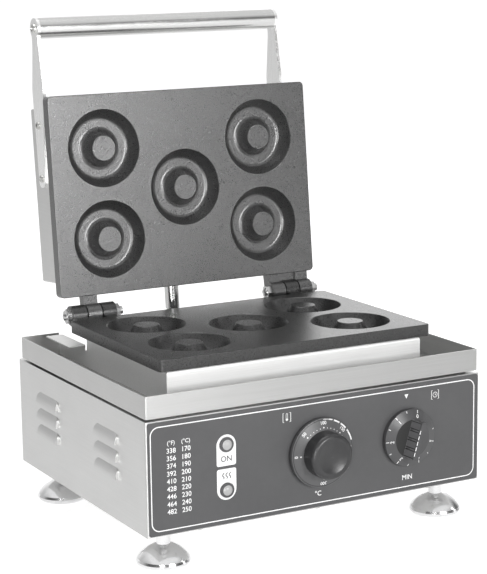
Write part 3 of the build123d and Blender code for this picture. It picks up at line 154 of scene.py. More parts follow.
def chrome_plate():
    """Bright plating: nearly a mirror, dulled a little by the film."""
    material, tree, shader, place = blank_material("chrome_plate", Metallic=1.0)
    film = handling_film(tree, place)
    feed(
        tree,
        shader,
        Base_Color=tint(tree, film, (0.88, 0.88, 0.885), (0.76, 0.76, 0.765)),
        Roughness=span(tree, film, 0.14, 0.24, 0.0, 1.0),
    )
    bump(tree, shader, noise(tree, place, 0.009, 1.0), 0.00012)
    return material


CHROME = chrome_plate()
finish(CHROME, *[f"foot_{corner}" for corner in FEET], *[f"foot_stud_{corner}" for corner in FEET])

# Base box: a stainless sheet folded round the front and sides, with a bottom plate and a screwed rear panel.
# The sheet is brushed along its length, so the streaks run level on the front, the sides and the rear.
def grain_group():
    """Shared brushing of sheet metal: fine streaks over broader ones, as one mask."""
    group = bpy.data.node_groups.new("brushed grain", "ShaderNodeTree")
    group.interface.new_socket("Place", in_out="INPUT", socket_type="NodeSocketVector")
    group.interface.new_socket("Lines per metre", in_out="INPUT", socket_type="NodeSocketVector")
    group.interface.new_socket("Streaks", in_out="OUTPUT", socket_type="NodeSocketFloat")
    start = shader_node(group, "NodeGroupInput").outputs
    sockets = {0: start["Place"], 1: start["Lines per metre"]}
    drawn = shader_node(group, "ShaderNodeVectorMath", sockets, operation="MULTIPLY").outputs[0]
    fine = noise(group, drawn, 1.0, 2.0)
    broad = noise(group, drawn, 7.0, 2.0)
    streaks = span(group, between(group, 0.25, fine, broad), 0.0, 1.0, 0.35, 0.65)
    shader_node(group, "NodeGroupOutput", {"Streaks": streaks})
    return group


GRAIN = grain_group()
LEVEL = (12, 12, 2600)
ALONG_X = (12, 2600, 2600)


def stainless(name, lines, dark=(0.57, 0.57, 0.565), pale=(0.62, 0.62, 0.615), shine=0.3, spread=0.7):
    """Brushed stainless: streaks in colour, gloss and relief, the gloss drawn out across the brushing."""
    across = 0.25
    sockets = {"Anisotropic": spread, "Anisotropic_Rotation": across}
    material, tree, shader, place = blank_material(name, Metallic=1.0, **sockets)
    group = shader_node(tree, "ShaderNodeGroup", {"Place": place}, node_tree=GRAIN)
    group.inputs["Lines per metre"].default_value = lines
    streaks = group.outputs["Streaks"]
    film = handling_film(tree, place)
    rough = between(tree, 0.4, streaks, film)
    feed(
        tree,
        shader,
        Base_Color=tint(tree, streaks, dark, pale),
        Roughness=span(tree, rough, shine, shine + 0.16, 0.0, 1.0),
    )
    bump(tree, shader, streaks, 0.000003)
    return material


SHEET = stainless("brushed_stainless_sheet", LEVEL)
PLATE_SHEET = stainless("brushed_stainless_plate", ALONG_X)
finish(SHEET, "housing_wrap", "rear_panel")
finish(PLATE_SHEET, "bottom_plate")


# Small screws: zinc-plated pan heads with a cross recess, driven into the sheets, flanges and castings.
# Each shared CAD group is replaced by as many recessed screws, set on the same axes.
def islands(node):
    """The corners of each of a node's separate solids."""
    mesh = bmesh.new()
    mesh.from_mesh(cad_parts[node].data)
    bmesh.ops.remove_doubles(mesh, verts=mesh.verts, dist=1e-6)
    left = set(mesh.verts)
    solids = []
    while left:
        reached = [left.pop()]
        for vertex in reached:
            for edge in vertex.link_edges:
                other = edge.other_vert(vertex)
                if other in left:
                    left.remove(other)
                    reached.append(other)
        solids.append([vertex.co.copy() for vertex in reached])
    mesh.free()
    return sorted(solids, key=lambda spots: tuple(map(min, zip(*spots))))


def lathe(mesh, outline, sides, place=Matrix()):
    """Turns an outline of (radius, height) pairs round the local Z axis; a radius of 0 closes an end."""
    rings = []
    for radius, height in outline:
        count = 1 if radius == 0 else sides
        turns = [2 * pi * step / sides for step in range(count)]
        spots = [Vector((radius * cos(turn), radius * sin(turn), height)) for turn in turns]
        rings.append([mesh.verts.new(place @ spot) for spot in spots])
    for low, high in zip(rings, rings[1:]):
        for step in range(sides):
            corners = [low[step % len(low)], low[(step + 1) % len(low)]]
            corners += [high[(step + 1) % len(high)], high[step % len(high)]]
            mesh.faces.new(list(dict.fromkeys(corners)))


def shaped(name, mesh, material, smooth=35):
    """Closes a mesh into a named object that takes a slot's finish."""
    bmesh.ops.recalc_face_normals(mesh, faces=mesh.faces)
    data = bpy.data.meshes.new(name)
    mesh.to_mesh(data)
    mesh.free()
    for polygon in data.polygons:
        polygon.use_smooth = True
    data.set_sharp_from_angle(angle=radians(smooth))
    data.materials.append(material)
    made = bpy.data.objects.new(name, data)
    bpy.context.scene.collection.objects.link(made)
    return made


def piece(name, mesh, body, material):
    """A shaped object that rides on a body."""
    made = shaped(name, mesh, material)
    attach(made, body)
    return made


def screw_blank(head, rise, shank, length):
    """A pan-head screw along Z, head up and seated at zero, with a cross recess cut in its crown."""
    crown = [(head, 0), (head, rise * 0.4), (head * 0.93, rise * 0.72), (head * 0.7, rise * 0.93), (0, rise)]
    solid = bmesh.new()
    lathe(solid, [(0, -length), (shank, -length), (shank, 0), *crown], 28)
    cutter = bmesh.new()
    for turn in (0, pi / 2):
        slot = Matrix.Rotation(turn, 4, "Z") @ Matrix.Translation((0, 0, rise))
        size = Matrix.Diagonal((head * 1.15, head * 0.24, rise * 0.9, 1))
        bmesh.ops.create_cube(cutter, size=1.0, matrix=slot @ size)
    meshes = [bpy.data.meshes.new("screw blank"), bpy.data.meshes.new("cross recess")]
    blank, recess = [bpy.data.objects.new(data.name, data) for data in meshes]
    for mesh, data in zip((solid, cutter), meshes):
        bmesh.ops.recalc_face_normals(mesh, faces=mesh.faces)
        mesh.to_mesh(data)
        mesh.free()
    for made in (blank, recess):
        bpy.context.scene.collection.objects.link(made)
    cut = blank.modifiers.new("recess", "BOOLEAN")
    cut.object = recess
    cut.operation = "DIFFERENCE"
    cut.solver = "EXACT"
    cut.use_self = True
    bpy.context.view_layer.update()
    result = bpy.data.meshes.new_from_object(blank.evaluated_get(bpy.context.evaluated_depsgraph_get()))
    for made in (blank, recess):
        bpy.data.objects.remove(made)
    return result


def zinc_plate():
    """Plated steel: pale grey with a faint yellow cast in patches."""
    material, tree, shader, place = blank_material("zinc_plated_steel", Metallic=1.0)
    film = handling_film(tree, place)
    feed(
        tree,
        shader,
        Base_Color=tint(tree, film, (0.62, 0.62, 0.61), (0.54, 0.54, 0.52)),
        Roughness=span(tree, film, 0.22, 0.4, 0.0, 1.0),
    )
    bump(tree, shader, noise(tree, place, 0.0012, 2.0), 0.00003)
    return material


ZINC = zinc_plate()


def set_screws(node, body, heads_face):
    """Replaces a CAD screw group at its own sizes: heads_face gives the way that a head at a spot faces."""
    made = bmesh.new()
    for number, spots in enumerate(islands(node)):
        out = Vector(heads_face(sum(spots, Vector()) / len(spots)))
        turn = out.to_track_quat("Z", "Y").to_matrix()
        upright = [turn.transposed() @ spot for spot in spots]
        low, high = [Vector(map(pick, zip(*upright))) for pick in (min, max)]
        axis = ((low + high) / 2).to_2d()
        reach = [(spot.z, (spot.to_2d() - axis).length) for spot in upright]
        head = max(radius for _, radius in reach)
        shank = max(radius for level, radius in reach if level < low.z + 0.1 * MM)
        rise = high.z - min(level for level, radius in reach if radius > 0.9 * head)
        blank = screw_blank(head, rise, shank, high.z - low.z - rise)
        seat = turn @ Vector((*axis, high.z - rise))
        spin = Matrix.Rotation(0.7 * number, 4, "Z")
        blank.transform(Matrix.Translation(seat) @ turn.to_4x4() @ spin)
        made.from_mesh(blank)
        bpy.data.meshes.remove(blank)
    screws = piece(f"{node}_recessed", made, body, ZINC)
    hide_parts(node)


set_screws("bottom_screws", "base", lambda spot: (0, 0, -1))
set_screws("rear_screws", "base", lambda spot: (0, 1, 0))
finish(ZINC, "foot_sockets")


# Cable gland and inner controls: a nylon gland in the rear panel, a terminal block and two switch bodies.
# All are moulded with a fine satin grain. The thermostat's capillary and bulb are copper, drawn and bent.
def moulding(name, dark, pale, shine, grain=0.0006, relief=0.00002):
    """Moulded plastic: a fine grain in relief, and handling in its colour and gloss."""
    material, tree, shader, place = blank_material(name)
    film = handling_film(tree, place)
    feed(
        tree,
        shader,
        Base_Color=tint(tree, film, dark, pale),
        Roughness=span(tree, film, shine, shine + 0.14, 0.0, 1.0),
    )
    bump(tree, shader, noise(tree, place, grain, 2.0), relief)
    return material


def drawn_metal(name, dark, pale, shine, grain=0.0009):
    """Drawn or turned metal: small marks in its colour and relief, dulled by handling."""
    material, tree, shader, place = blank_material(name, Metallic=1.0)
    marks = span(tree, noise(tree, place, grain, 3.0), 0.0, 1.0)
    film = handling_film(tree, place)
    feed(
        tree,
        shader,
        Base_Color=tint(tree, marks, dark, pale),
        Roughness=span(tree, film, shine, shine + 0.15, 0.0, 1.0),
    )
    bump(tree, shader, marks, 0.00002)
    return material


GLAND_BLACK = moulding("gland_black_nylon", (0.018, 0.018, 0.019), (0.03, 0.03, 0.031), 0.38)
SWITCH_BODY = moulding("switch_body_resin", (0.2, 0.19, 0.175), (0.26, 0.25, 0.23), 0.5)
COPPER = drawn_metal("capillary_copper", (0.5, 0.24, 0.15), (0.62, 0.32, 0.2), 0.28)
finish(GLAND_BLACK, "cable_gland", "cable_gland_nut")
finish(SWITCH_BODY, "thermostat_body", "timer_body", "terminal_block")
finish(COPPER, "thermostat_bulb")
finish(ZINC, "thermostat_shaft", "timer_shaft")

# Control panel: a dark grey plate on the front of the box with a satin film, printed in white.
# The print is a frame line, a table of heats in two scales, two pictograms, two units and the timer's mark.
PRINT_LIFT = 0.06 * MM
PANEL_LOW, PANEL_HIGH = [Vector(corner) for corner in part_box("control_panel")]


def panel_film():
    """Satin film over the plate: a fine even grain and faint clouds."""
    material, tree, shader, place = blank_material("panel_film")
    grain = noise(tree, place, 0.0005, 2.0)
    film = handling_film(tree, place)
    feed(
        tree,
        shader,
        Base_Color=tint(tree, film, (0.06, 0.06, 0.062), (0.07, 0.07, 0.072)),
        Roughness=span(tree, film, 0.36, 0.46, 0.0, 1.0),
    )
    bump(tree, shader, grain, 0.000012)
    return material


def print_ink(name, dark, pale):
    """Screen-printed ink: slightly uneven cover and a fine edge of grain."""
    material, tree, shader, place = blank_material(name)
    cover = span(tree, noise(tree, place, 0.0007, 3.0), 0.0, 1.0)
    feed(
        tree,
        shader,
        Base_Color=tint(tree, cover, dark, pale),
        Roughness=span(tree, cover, 0.55, 0.42, 0.0, 1.0),
    )
    bump(tree, shader, cover, 0.000008)
    return material


PANEL_FILM = panel_film()
WHITE_INK = print_ink("white_ink", (0.72, 0.72, 0.72), (0.82, 0.82, 0.82))
DARK_INK = print_ink("dark_ink", (0.045, 0.045, 0.047), (0.065, 0.065, 0.067))
finish(PANEL_FILM, "control_panel")


def facing(across, depth, up):
    """A place on the front in which X runs across, Y runs up and one unit is a millimetre."""
    spot = Matrix.Translation((across, depth - PRINT_LIFT, up))
    return spot @ Matrix.Rotation(pi / 2, 4, "X") @ Matrix.Scale(MM, 4)


def arc(across, up, radius, start, end, steps=12):
    """Points along an arc between two angles in degrees, anticlockwise from the right."""
    turns = [radians(start + (end - start) * step / steps) for step in range(steps + 1)]
    return [(across + radius * cos(turn), up + radius * sin(turn)) for turn in turns]


def rounded(left, foot, right, head, corners):
    """The outline of a rectangle with its corners rounded: foot left, foot right, head right, head left."""
    places = ((left, foot, 1, 1), (right, foot, -1, 1), (right, head, -1, -1), (left, head, 1, -1))
    outline = []
    for step, ((across, up, way_across, way_up), corner) in enumerate(zip(places, corners)):
        spot = (across + way_across * corner, up + way_up * corner)
        outline += arc(*spot, corner, 180 + 90 * step, 270 + 90 * step, 8)
    return outline


def patch(mesh, outline, place):
    """Prints a filled shape."""
    mesh.faces.new([mesh.verts.new(place @ Vector((*point, 0))) for point in outline])


def stroke(mesh, route, width, place, closed=False):
    """Prints a line of even width along a route."""
    points = [Vector(point) for point in route]
    count = len(points)
    edges = []
    for step, point in enumerate(points):
        ahead = points[(step + 1) % count if closed else min(step + 1, count - 1)]
        behind = points[step - 1 if closed else max(step - 1, 0)]
        along = (ahead - behind).normalized()
        side = Vector((-along.y, along.x)) * width / 2
        edges.append([mesh.verts.new(place @ (point + side * way).to_3d()) for way in (1, -1)])
    for step in range(count if closed else count - 1):
        (one, two), (three, four) = edges[step], edges[(step + 1) % count]
        mesh.faces.new((one, two, four, three))


def lettering(mesh, words, height, place):
    """Prints words or figures, centred on a place, with capitals of that height."""
    capital_share = 0.7
    curve = bpy.data.curves.new("lettering", "FONT")
    curve.body = words
    curve.size = height / capital_share
    curve.align_x = "CENTER"
    curve.align_y = "CENTER"
    curve.offset = height * 0.015
    curve.resolution_u = 4
    text = bpy.data.objects.new("lettering", curve)
    flat = bpy.data.meshes.new_from_object(text)
    flat.transform(place)
    mesh.from_mesh(flat)
    bpy.data.meshes.remove(flat)
    bpy.data.objects.remove(text)
    bpy.data.curves.remove(curve)


def bracketed(mesh, place):
    """A pair of square brackets, in which a pictogram stands."""
    for way in (1, -1):
        stroke(mesh, [(way * 3.4, 5), (way * 4.8, 5), (way * 4.8, -5), (way * 3.4, -5)], 0.65, place)


panel_print = bmesh.new()
panel_face = facing(0, PANEL_LOW.y, 0)
FRAME_LINE = (-175.5, 43.3, 173.8, 139.5)
stroke(panel_print, rounded(*FRAME_LINE, (8, 8, 8, 8)), 1.0, panel_face, closed=True)
TABLE_HEAD, FIRST_ROW, ROW_PITCH = 123.4, 116.1, 7.08
TABLE_UNITS, TABLE_FIGURES = 3.7, 4.5
TABLE_COLUMNS = (-155.2, -140.4)
for across, words in zip(TABLE_COLUMNS, ("(°F)", "(°C)")):
    lettering(panel_print, words, TABLE_UNITS, panel_face @ Matrix.Translation((across, TABLE_HEAD, 0)))
for row, celsius in enumerate(range(170, 260, 10)):
    up = FIRST_ROW - ROW_PITCH * row
    for across, heat in zip(TABLE_COLUMNS, (celsius * 9 // 5 + 32, celsius)):
        lettering(panel_print, str(heat), TABLE_FIGURES, panel_face @ Matrix.Translation((across, up, 0)))
CAPTION = 4.6
for words, across, up in (("°C", -3, 52), ("MIN", 96.5, 52.4)):
    lettering(panel_print, words, CAPTION, panel_face @ Matrix.Translation((across, up, 0)))
patch(panel_print, [(93.2, 134.4), (97.6, 134.4), (95.4, 130.2)], panel_face)
PICTOGRAM = Matrix.Scale(0.86, 4)
thermometer = panel_face @ Matrix.Translation((-36, 130.1, 0)) @ PICTOGRAM
bracketed(panel_print, thermometer)
patch(panel_print, arc(0, -2.2, 1.5, 130, 410, 16), thermometer)
glass = [*arc(0, 3.4, 0.95, 0, 180, 8), (-0.95, -1.6), (0.95, -1.6)]
stroke(panel_print, glass, 0.45, thermometer, closed=True)
clock = panel_face @ Matrix.Translation((128.3, 129.8, 0)) @ PICTOGRAM
bracketed(panel_print, clock)
stroke(panel_print, arc(0, 0, 2.9, 0, 345, 23), 0.55, clock, closed=True)
stroke(panel_print, [(0, 2), (0, 0), (1.5, -0.8)], 0.55, clock)
piece("panel_print", panel_print, "base", WHITE_INK)

# Signal lamps: two black bezels, each with a domed lens, snapped through the panel from the front.
# Each stands in a white printed plate with one round end, marked for power or for heat.
LENS = moulding("lamp_lens_resin", (0.33, 0.33, 0.33), (0.42, 0.42, 0.42), 0.16, 0.0016, 0.00008)
BEZEL = moulding("lamp_bezel_nylon", (0.05, 0.05, 0.052), (0.075, 0.075, 0.077), 0.3)
finish(LENS, "power_lamp_lens", "heat_lamp_lens")
finish(BEZEL, "power_lamp_bezel", "heat_lamp_bezel")
PLATE_HALF, PLATE_ROUND, PLATE_CORNER = 9.95, 9.9, 2.0
lamp_plates = bmesh.new()
lamp_marks = bmesh.new()
for lamp, way in (("power", -1), ("heat", 1)):
    low, high = [Vector(corner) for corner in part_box(f"{lamp}_lamp_lens")]
    middle = (low + high) / 2
    plate = facing(middle.x, PANEL_LOW.y, middle.z) @ Matrix.Diagonal((1, -way, 1, 1))
    corners = (PLATE_CORNER, PLATE_CORNER, PLATE_ROUND, PLATE_ROUND)
    patch(lamp_plates, rounded(-PLATE_HALF, -20, PLATE_HALF, 9.3, corners), plate)
    mark = facing(middle.x, PANEL_LOW.y - PRINT_LIFT, middle.z + way * 13.6 * MM)
    if lamp == "power":
        lettering(lamp_marks, "ON", 5.2, mark)
    else:
        for across in (-3.4, 0, 3.4):
            wave = [(across + 0.8 * sin(step * pi / 4), -2.9 + step * 0.58) for step in range(11)]
            stroke(lamp_marks, wave, 0.9, mark)
piece("lamp_plates", lamp_plates, "base", WHITE_INK)
piece("lamp_marks", lamp_marks, "base", DARK_INK)

# Temperature dial: a black moulding on the thermostat's shaft, a flange under a tall dished hub.
# A satin ring lies on the flange and falls away from the hub; its grey is painted paler than the dial's black
# as painted light on the flange. It is printed with degrees, dots between them and a broken band along part
# of its rim.
def ring_place(centre, turn, inner, outer, share):
    """A place on a knob's cone, with up facing outwards: inner and outer are its edges, radius and Y."""
    out = Vector((cos(turn), 0, sin(turn)))
    spots = [Vector((centre.x, depth, centre.z)) + out * radius for radius, depth in (inner, outer)]
    up = (spots[1] - spots[0]).normalized()
    right = Vector((sin(turn), 0, -cos(turn)))
    face = right.cross(up)
    turned = Matrix((right, up, face)).transposed().to_4x4()
    spot = spots[0].lerp(spots[1], share) + face * PRINT_LIFT
    return Matrix.Translation(spot) @ turned @ Matrix.Scale(MM, 4)


dial_low, dial_high = [Vector(corner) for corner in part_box("temperature_dial")]
dial_centre = (dial_low + dial_high) / 2
DIAL_BLACK = moulding("dial_black_resin", (0.02, 0.02, 0.021), (0.032, 0.032, 0.033), 0.28, 0.0009)
finish(DIAL_BLACK, "temperature_dial")
DIAL_FACE = dial_high.y - 5.0 * MM
HUB_RADIUS, RING_RADIUS, RING_RISE, RING_EDGE, RING_BED = 22.0, 33.1, 2.2, -0.4, -3.6
# Painted light: the ring's grey is paler than the dial's black resin, standing in for light on the flange.
RING_SATIN_LIT = moulding("dial_ring_satin_painted_light", (0.07, 0.07, 0.072), (0.088, 0.088, 0.09), 0.26, 0.0009)
section = [(HUB_RADIUS, RING_BED), (HUB_RADIUS, RING_RISE), (RING_RADIUS, RING_EDGE), (RING_RADIUS, RING_BED)]
dial_ring = bmesh.new()
lathe(dial_ring, [*section, section[0]], 96, facing(dial_centre.x, DIAL_FACE + PRINT_LIFT, dial_centre.z))
bmesh.ops.remove_doubles(dial_ring, verts=dial_ring.verts, dist=0.001 * MM)
piece("dial_ring", dial_ring, "temperature_dial", RING_SATIN_LIT)
DIAL_EDGES = [(radius * MM, DIAL_FACE - rise * MM) for radius, rise in section[1:3]]
DOT = arc(0, 0, 0.42, 0, 330, 11)
dial_print = bmesh.new()
DIAL_FIGURES, FIGURE_SHARE, DOT_SHARE, MAIN_DOT_SHARE, MAIN_DOT_SCALE = 3.1, 0.62, 0.2, 0.24, 1.7
FIGURE_TURN, DOT_TURN = pi / 4, pi / 20
for step in range(7):
    turn = pi - step * FIGURE_TURN
    figure = ring_place(dial_centre, turn, *DIAL_EDGES, FIGURE_SHARE)
    lettering(dial_print, str(50 * step), DIAL_FIGURES, figure)
    main_dot = ring_place(dial_centre, turn, *DIAL_EDGES, MAIN_DOT_SHARE)
    patch(dial_print, DOT, main_dot @ Matrix.Scale(MAIN_DOT_SCALE, 4))
    for back in range(1, 5) if step > 1 else ():
        patch(dial_print, DOT, ring_place(dial_centre, turn + back * DOT_TURN, *DIAL_EDGES, DOT_SHARE))
piece("dial_print", dial_print, "temperature_dial", WHITE_INK)
BAND_RADIUS = 32.1
RING_FALL = (RING_RISE - RING_EDGE) / (RING_RADIUS - HUB_RADIUS)
dial_band = bmesh.new()
for start, end, width in ((80, 89, 0.7), (71, 79, 1.1), (56, 68, 1.4), (40, 53, 1.5), (15, 36, 1.5)):
    stroke(dial_band, arc(0, 0, BAND_RADIUS, start, end, 8), width, Matrix())
for vertex in dial_band.verts:
    vertex.co.z = RING_RISE - RING_FALL * (vertex.co.length - HUB_RADIUS)
dial_band.transform(facing(dial_centre.x, DIAL_FACE, dial_centre.z))
piece("dial_band", dial_band, "temperature_dial", WHITE_INK)

# Timer knob: a dark grey moulding on the timer's shaft, a coned skirt under a bar grip with ribbed flanks.
# Minutes and halves are printed round the skirt, and a dashed line runs along the bar as its pointer.
timer_low, timer_high = [Vector(corner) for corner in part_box("timer_knob")]
timer_centre = (timer_low + timer_high) / 2
SKIRT_RIM = (28 * MM, timer_high.y - 4 * MM)
SKIRT_HEAD = (19 * MM, timer_high.y - 8 * MM)
BAR_TURN = radians(73)
BAR_FOOT, BAR_CREST, RIB_PITCH = 5.5 * MM, 3.0 * MM, 9.0 * MM


def from_axis(tree, place, centre):
    """The offset from a knob's axis in the plane of the panel, and its length."""
    offset = shader_node(tree, "ShaderNodeVectorMath", {0: place, 1: centre}, operation="SUBTRACT")
    sockets = {0: offset.outputs[0], 1: (1, 0, 1)}
    flat = shader_node(tree, "ShaderNodeVectorMath", sockets, operation="MULTIPLY").outputs[0]
    return flat, shader_node(tree, "ShaderNodeVectorMath", {0: flat}, operation="LENGTH").outputs["Value"]


def timer_resin():
    """Dark grey resin with painted light: the bar's left flank painted paler as a painted highlight, and
    painted shade in matt black beside the bar and in thin lines along its ribs.
    """
    material, tree, shader, place = blank_material("timer_grey_resin")
    flat, away = from_axis(tree, place, timer_centre)
    reach = [(cos(BAR_TURN), 0, sin(BAR_TURN)), (sin(BAR_TURN), 0, -cos(BAR_TURN))]
    along, across = [
        shader_node(tree, "ShaderNodeVectorMath", {0: flat, 1: way}, operation="DOT_PRODUCT").outputs["Value"]
        for way in reach
    ]
    # Painted shade: the flat face beside the bar is painted near black, as if a hollow there lay in shade.
    hollow_shade = span(tree, across, 1.0, 0.0, -BAR_FOOT - 0.4 * MM, -BAR_FOOT)
    flank = span(tree, across, 1.0, 0.0, -BAR_CREST - 0.4 * MM, -BAR_CREST)
    # Painted shade: thin dark lines at the rib pitch along the left flank stand in for shade in the grooves
    # between ribs.
    rib = maths(tree, "PINGPONG", along, RIB_PITCH / 2)
    edges = [span(tree, rib, 0.0, 1.0, 0.6 * MM, 0.9 * MM), span(tree, rib, 1.0, 0.0, 1.4 * MM, 1.7 * MM)]
    edge = maths(tree, "MULTIPLY", maths(tree, "MULTIPLY", *edges), flank)
    inside = span(tree, away, 1.0, 0.0, SKIRT_HEAD[0] - 0.3 * MM, SKIRT_HEAD[0])
    # black joins the two painted shades, inside the skirt's head.
    black = maths(tree, "MULTIPLY", maths(tree, "MAXIMUM", hollow_shade, edge), inside)
    grey = tint(tree, handling_film(tree, place), (0.046, 0.046, 0.048), (0.062, 0.062, 0.064))
    # Painted highlight: the bar's left flank is painted paler, in place of light falling on it from the left.
    flank_highlight = tint(tree, maths(tree, "MULTIPLY", flank, inside), grey, (0.11, 0.11, 0.113))
    feed(
        tree,
        shader,
        Base_Color=tint(tree, black, flank_highlight, (0.012, 0.012, 0.012)),
        Roughness=span(tree, black, 0.34, 0.6, 0.0, 1.0),
    )
    bump(tree, shader, noise(tree, place, 0.0009, 2.0), 0.00002)
    return material


finish(timer_resin(), "timer_knob")
timer_print = bmesh.new()
MINUTE_TURN, HALF_TURN = radians(54.5), radians(27.2)
TIMER_FIGURES, MINUTE_SHARE, TICK_SHARE = 3.6, 0.32, 0.8
for minute in range(6):
    turn = BAR_TURN + minute * MINUTE_TURN
    figure, tick, halfway = [
        ring_place(timer_centre, turn + more, SKIRT_HEAD, SKIRT_RIM, share)
        for more, share in ((0, MINUTE_SHARE), (0, TICK_SHARE), (HALF_TURN, TICK_SHARE))
    ]
    lettering(timer_print, str(minute), TIMER_FIGURES, figure)
    stroke(timer_print, [(0, -1.5), (0, 1.5)], 0.7, tick)
    stroke(timer_print, [(0, -1.1), (0, 1.1)], 0.6, halfway)
bar = facing(timer_centre.x, timer_low.y, timer_centre.z) @ Matrix.Rotation(BAR_TURN - pi / 2, 4, "Z")
DASH_LINE, DASH_TOP, DASH_PITCH, DASH_LENGTH = -2.6, 10.5, 5.4, 3.6
for dash in range(5):
    top = DASH_TOP - dash * DASH_PITCH
    stroke(timer_print, [(DASH_LINE, top), (DASH_LINE, top - DASH_LENGTH)], 0.9, bar)
piece("timer_print", timer_print, "timer_knob", WHITE_INK)

# Drip tray and plate collar: folded stainless pans, one lying on the box and one standing in it.
# Both are brushed along their length; the collar carries the lower plate on its flange.
TRAY_SHEET = stainless("brushed_stainless_tray", LEVEL, (0.48, 0.48, 0.475), (0.53, 0.53, 0.525), 0.27)
# Painted light: the collar's steel is painted far paler than the tray's, in place of light reaching it in the
# shade under the plate.
COLLAR_SHEET = stainless("dull_stainless_collar_painted_light", ALONG_X, (0.8, 0.8, 0.795), (0.88, 0.88, 0.875), 0.5, 0.0)
finish(TRAY_SHEET, "drip_tray")
finish(COLLAR_SHEET, "plate_collar")


# Lower mould plate: cast aluminium with five ring moulds, its knuckles bored for the hinge pins.
# A dark non-stick coat covers the casting, finely speckled and half glossy, and its screws are plated.
def nonstick_coat(name, pale, gloss):
    """Sprayed coat: a fine speckle in colour and relief, glossier where handling has polished it."""
    material, tree, shader, place = blank_material(name, IOR=1.6, Specular_IOR_Level=gloss)
    speckle = span(tree, noise(tree, place, 0.0011, 2.0), 0.0, 1.0)
    dulled = between(tree, 0.3, speckle, handling_film(tree, place))
    feed(
        tree,
        shader,
        Base_Color=tint(tree, speckle, (0.001, 0.001, 0.001), pale),
        Roughness=span(tree, dulled, 0.24, 0.36, 0.0, 1.0),
    )
    bump(tree, shader, speckle, 0.00007)
    return material


# The lower coat is painted darker than the lid's, a painted shade on the level plate; the two coats are
# shaded and lit copies of one finish.
LOWER_COAT = nonstick_coat("nonstick_coat_lower", (0.028, 0.028, 0.028), 0.6)
HEATER = drawn_metal("heater_sheath", (0.12, 0.11, 0.1), (0.2, 0.19, 0.175), 0.42)
finish(LOWER_COAT, "lower_plate")
finish(HEATER, "lower_heating_element")
finish(PLATE_SHEET, "lower_heater_clamp")
finish(ZINC, "lower_clamp_screws")
set_screws("plate_screws", "base", lambda spot: (0, 0, -1))

# Hinge: two hexagon-headed steel pins through the interleaved knuckles, each held by a dome nut.
# Turned from bar and left bright; the left pin stays with the base and the right one with the lid.
PIN_STEEL = drawn_metal("turned_pin_steel", (0.5, 0.5, 0.5), (0.62, 0.62, 0.62), 0.2)
finish(PIN_STEEL, "hinge_pin_left", "hinge_nut_left", "hinge_pin_right", "hinge_nut_right")

# Upper mould plate: the same casting turned over, with its own heater in the back and the same coat painted
# paler, a painted light on the lid's upright face.
# Its moulds face the lower plate's when the lid is down.
UPPER_COAT = nonstick_coat("nonstick_coat_upper", (0.05, 0.05, 0.05), 1.0)
finish(UPPER_COAT, "upper_plate")
finish(HEATER, "upper_heating_element")
finish(PLATE_SHEET, "upper_heater_clamp")
finish(ZINC, "upper_clamp_screws")

# Upper cover: a folded stainless pan over the upper plate's heater, held by small screws round its rim.
# The arms of the handle are screwed through its flanks, with nuts inside.
LID_LEAN = radians(5.5)
LID_RISE = Vector((0, sin(LID_LEAN), cos(LID_LEAN)))
cover_middle = sum((Vector(corner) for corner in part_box("upper_cover")), Vector()) / 2
finish(SHEET, "upper_cover")
set_screws("cover_screws", "lid", lambda spot: LID_RISE if spot.z > cover_middle.z else -LID_RISE)

# Handle: two bent flat arms and a tube between them, both of polished stainless, held by a screw at each end.
# The tube is ground along its length and the arms along theirs.
UPRIGHT = (2600, 2600, 12)
ARM_STEEL = stainless("polished_arm_steel", UPRIGHT, (0.9, 0.9, 0.895), (0.95, 0.95, 0.945), 0.2, 0.0)
TUBE_STEEL = stainless("polished_tube_steel", ALONG_X, (0.64, 0.64, 0.635), (0.7, 0.7, 0.695), 0.16, 0.0)
finish(ARM_STEEL, "handle_arm_left", "handle_arm_right")
finish(TUBE_STEEL, "handle_tube")
finish(ZINC, "arm_nuts")
for node in ("arm_screws", "handle_end_screws"):
    set_screws(node, "lid", lambda spot: (1, 0, 0) if spot.x > 0 else (-1, 0, 0))

# Conduit: a hose of wound steel strip from the tray's gland to the lid's ferrule, for the heater's wires.
# The strip's round crests climb as a screw thread.
HOSE_CREST, HOSE_ROOT, HOSE_BORE, HOSE_PITCH = 7.25 * MM, 6.2 * MM, 5.0 * MM, 4.5 * MM
HOSE_SIDES, HOSE_STEPS = 48, 120
CONDUIT_STEEL = drawn_metal("wound_strip_steel", (0.5, 0.5, 0.495), (0.6, 0.6, 0.595), 0.08)
finish(CONDUIT_STEEL, "conduit_ferrule", "conduit_gland")
finish(ZINC, "ferrule_nut", "conduit_gland_nut")
hose_low, hose_high = [Vector(corner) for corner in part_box("conduit_hose")]
hose_middle = (hose_low + hose_high) / 2
hose_length = ((hose_high - hose_low).z - 2 * HOSE_ROOT * LID_RISE.y) / LID_RISE.z


def rib_height(level, turn):
    """How far the wound strip stands out at a level along the hose and a turn round it."""
    climb = level / HOSE_PITCH + turn / (2 * pi)
    share = 1 - abs(2 * (climb - floor(climb)) - 1) ** 3
    ends = min(1.0, level / (HOSE_PITCH / 4), (hose_length - level) / (HOSE_PITCH / 4))
    return (HOSE_CREST - HOSE_ROOT) * share * ends


def hose_ring(mesh, level, radius_at):
    """One ring of corners round the hose's leaning axis."""
    centre = hose_middle + LID_RISE * (level - hose_length / 2)
    across, back = Vector((1, 0, 0)), LID_RISE.cross(Vector((1, 0, 0)))
    turns = [2 * pi * side / HOSE_SIDES for side in range(HOSE_SIDES)]
    ways = [(turn, across * cos(turn) + back * sin(turn)) for turn in turns]
    return [mesh.verts.new(centre + way * radius_at(turn)) for turn, way in ways]


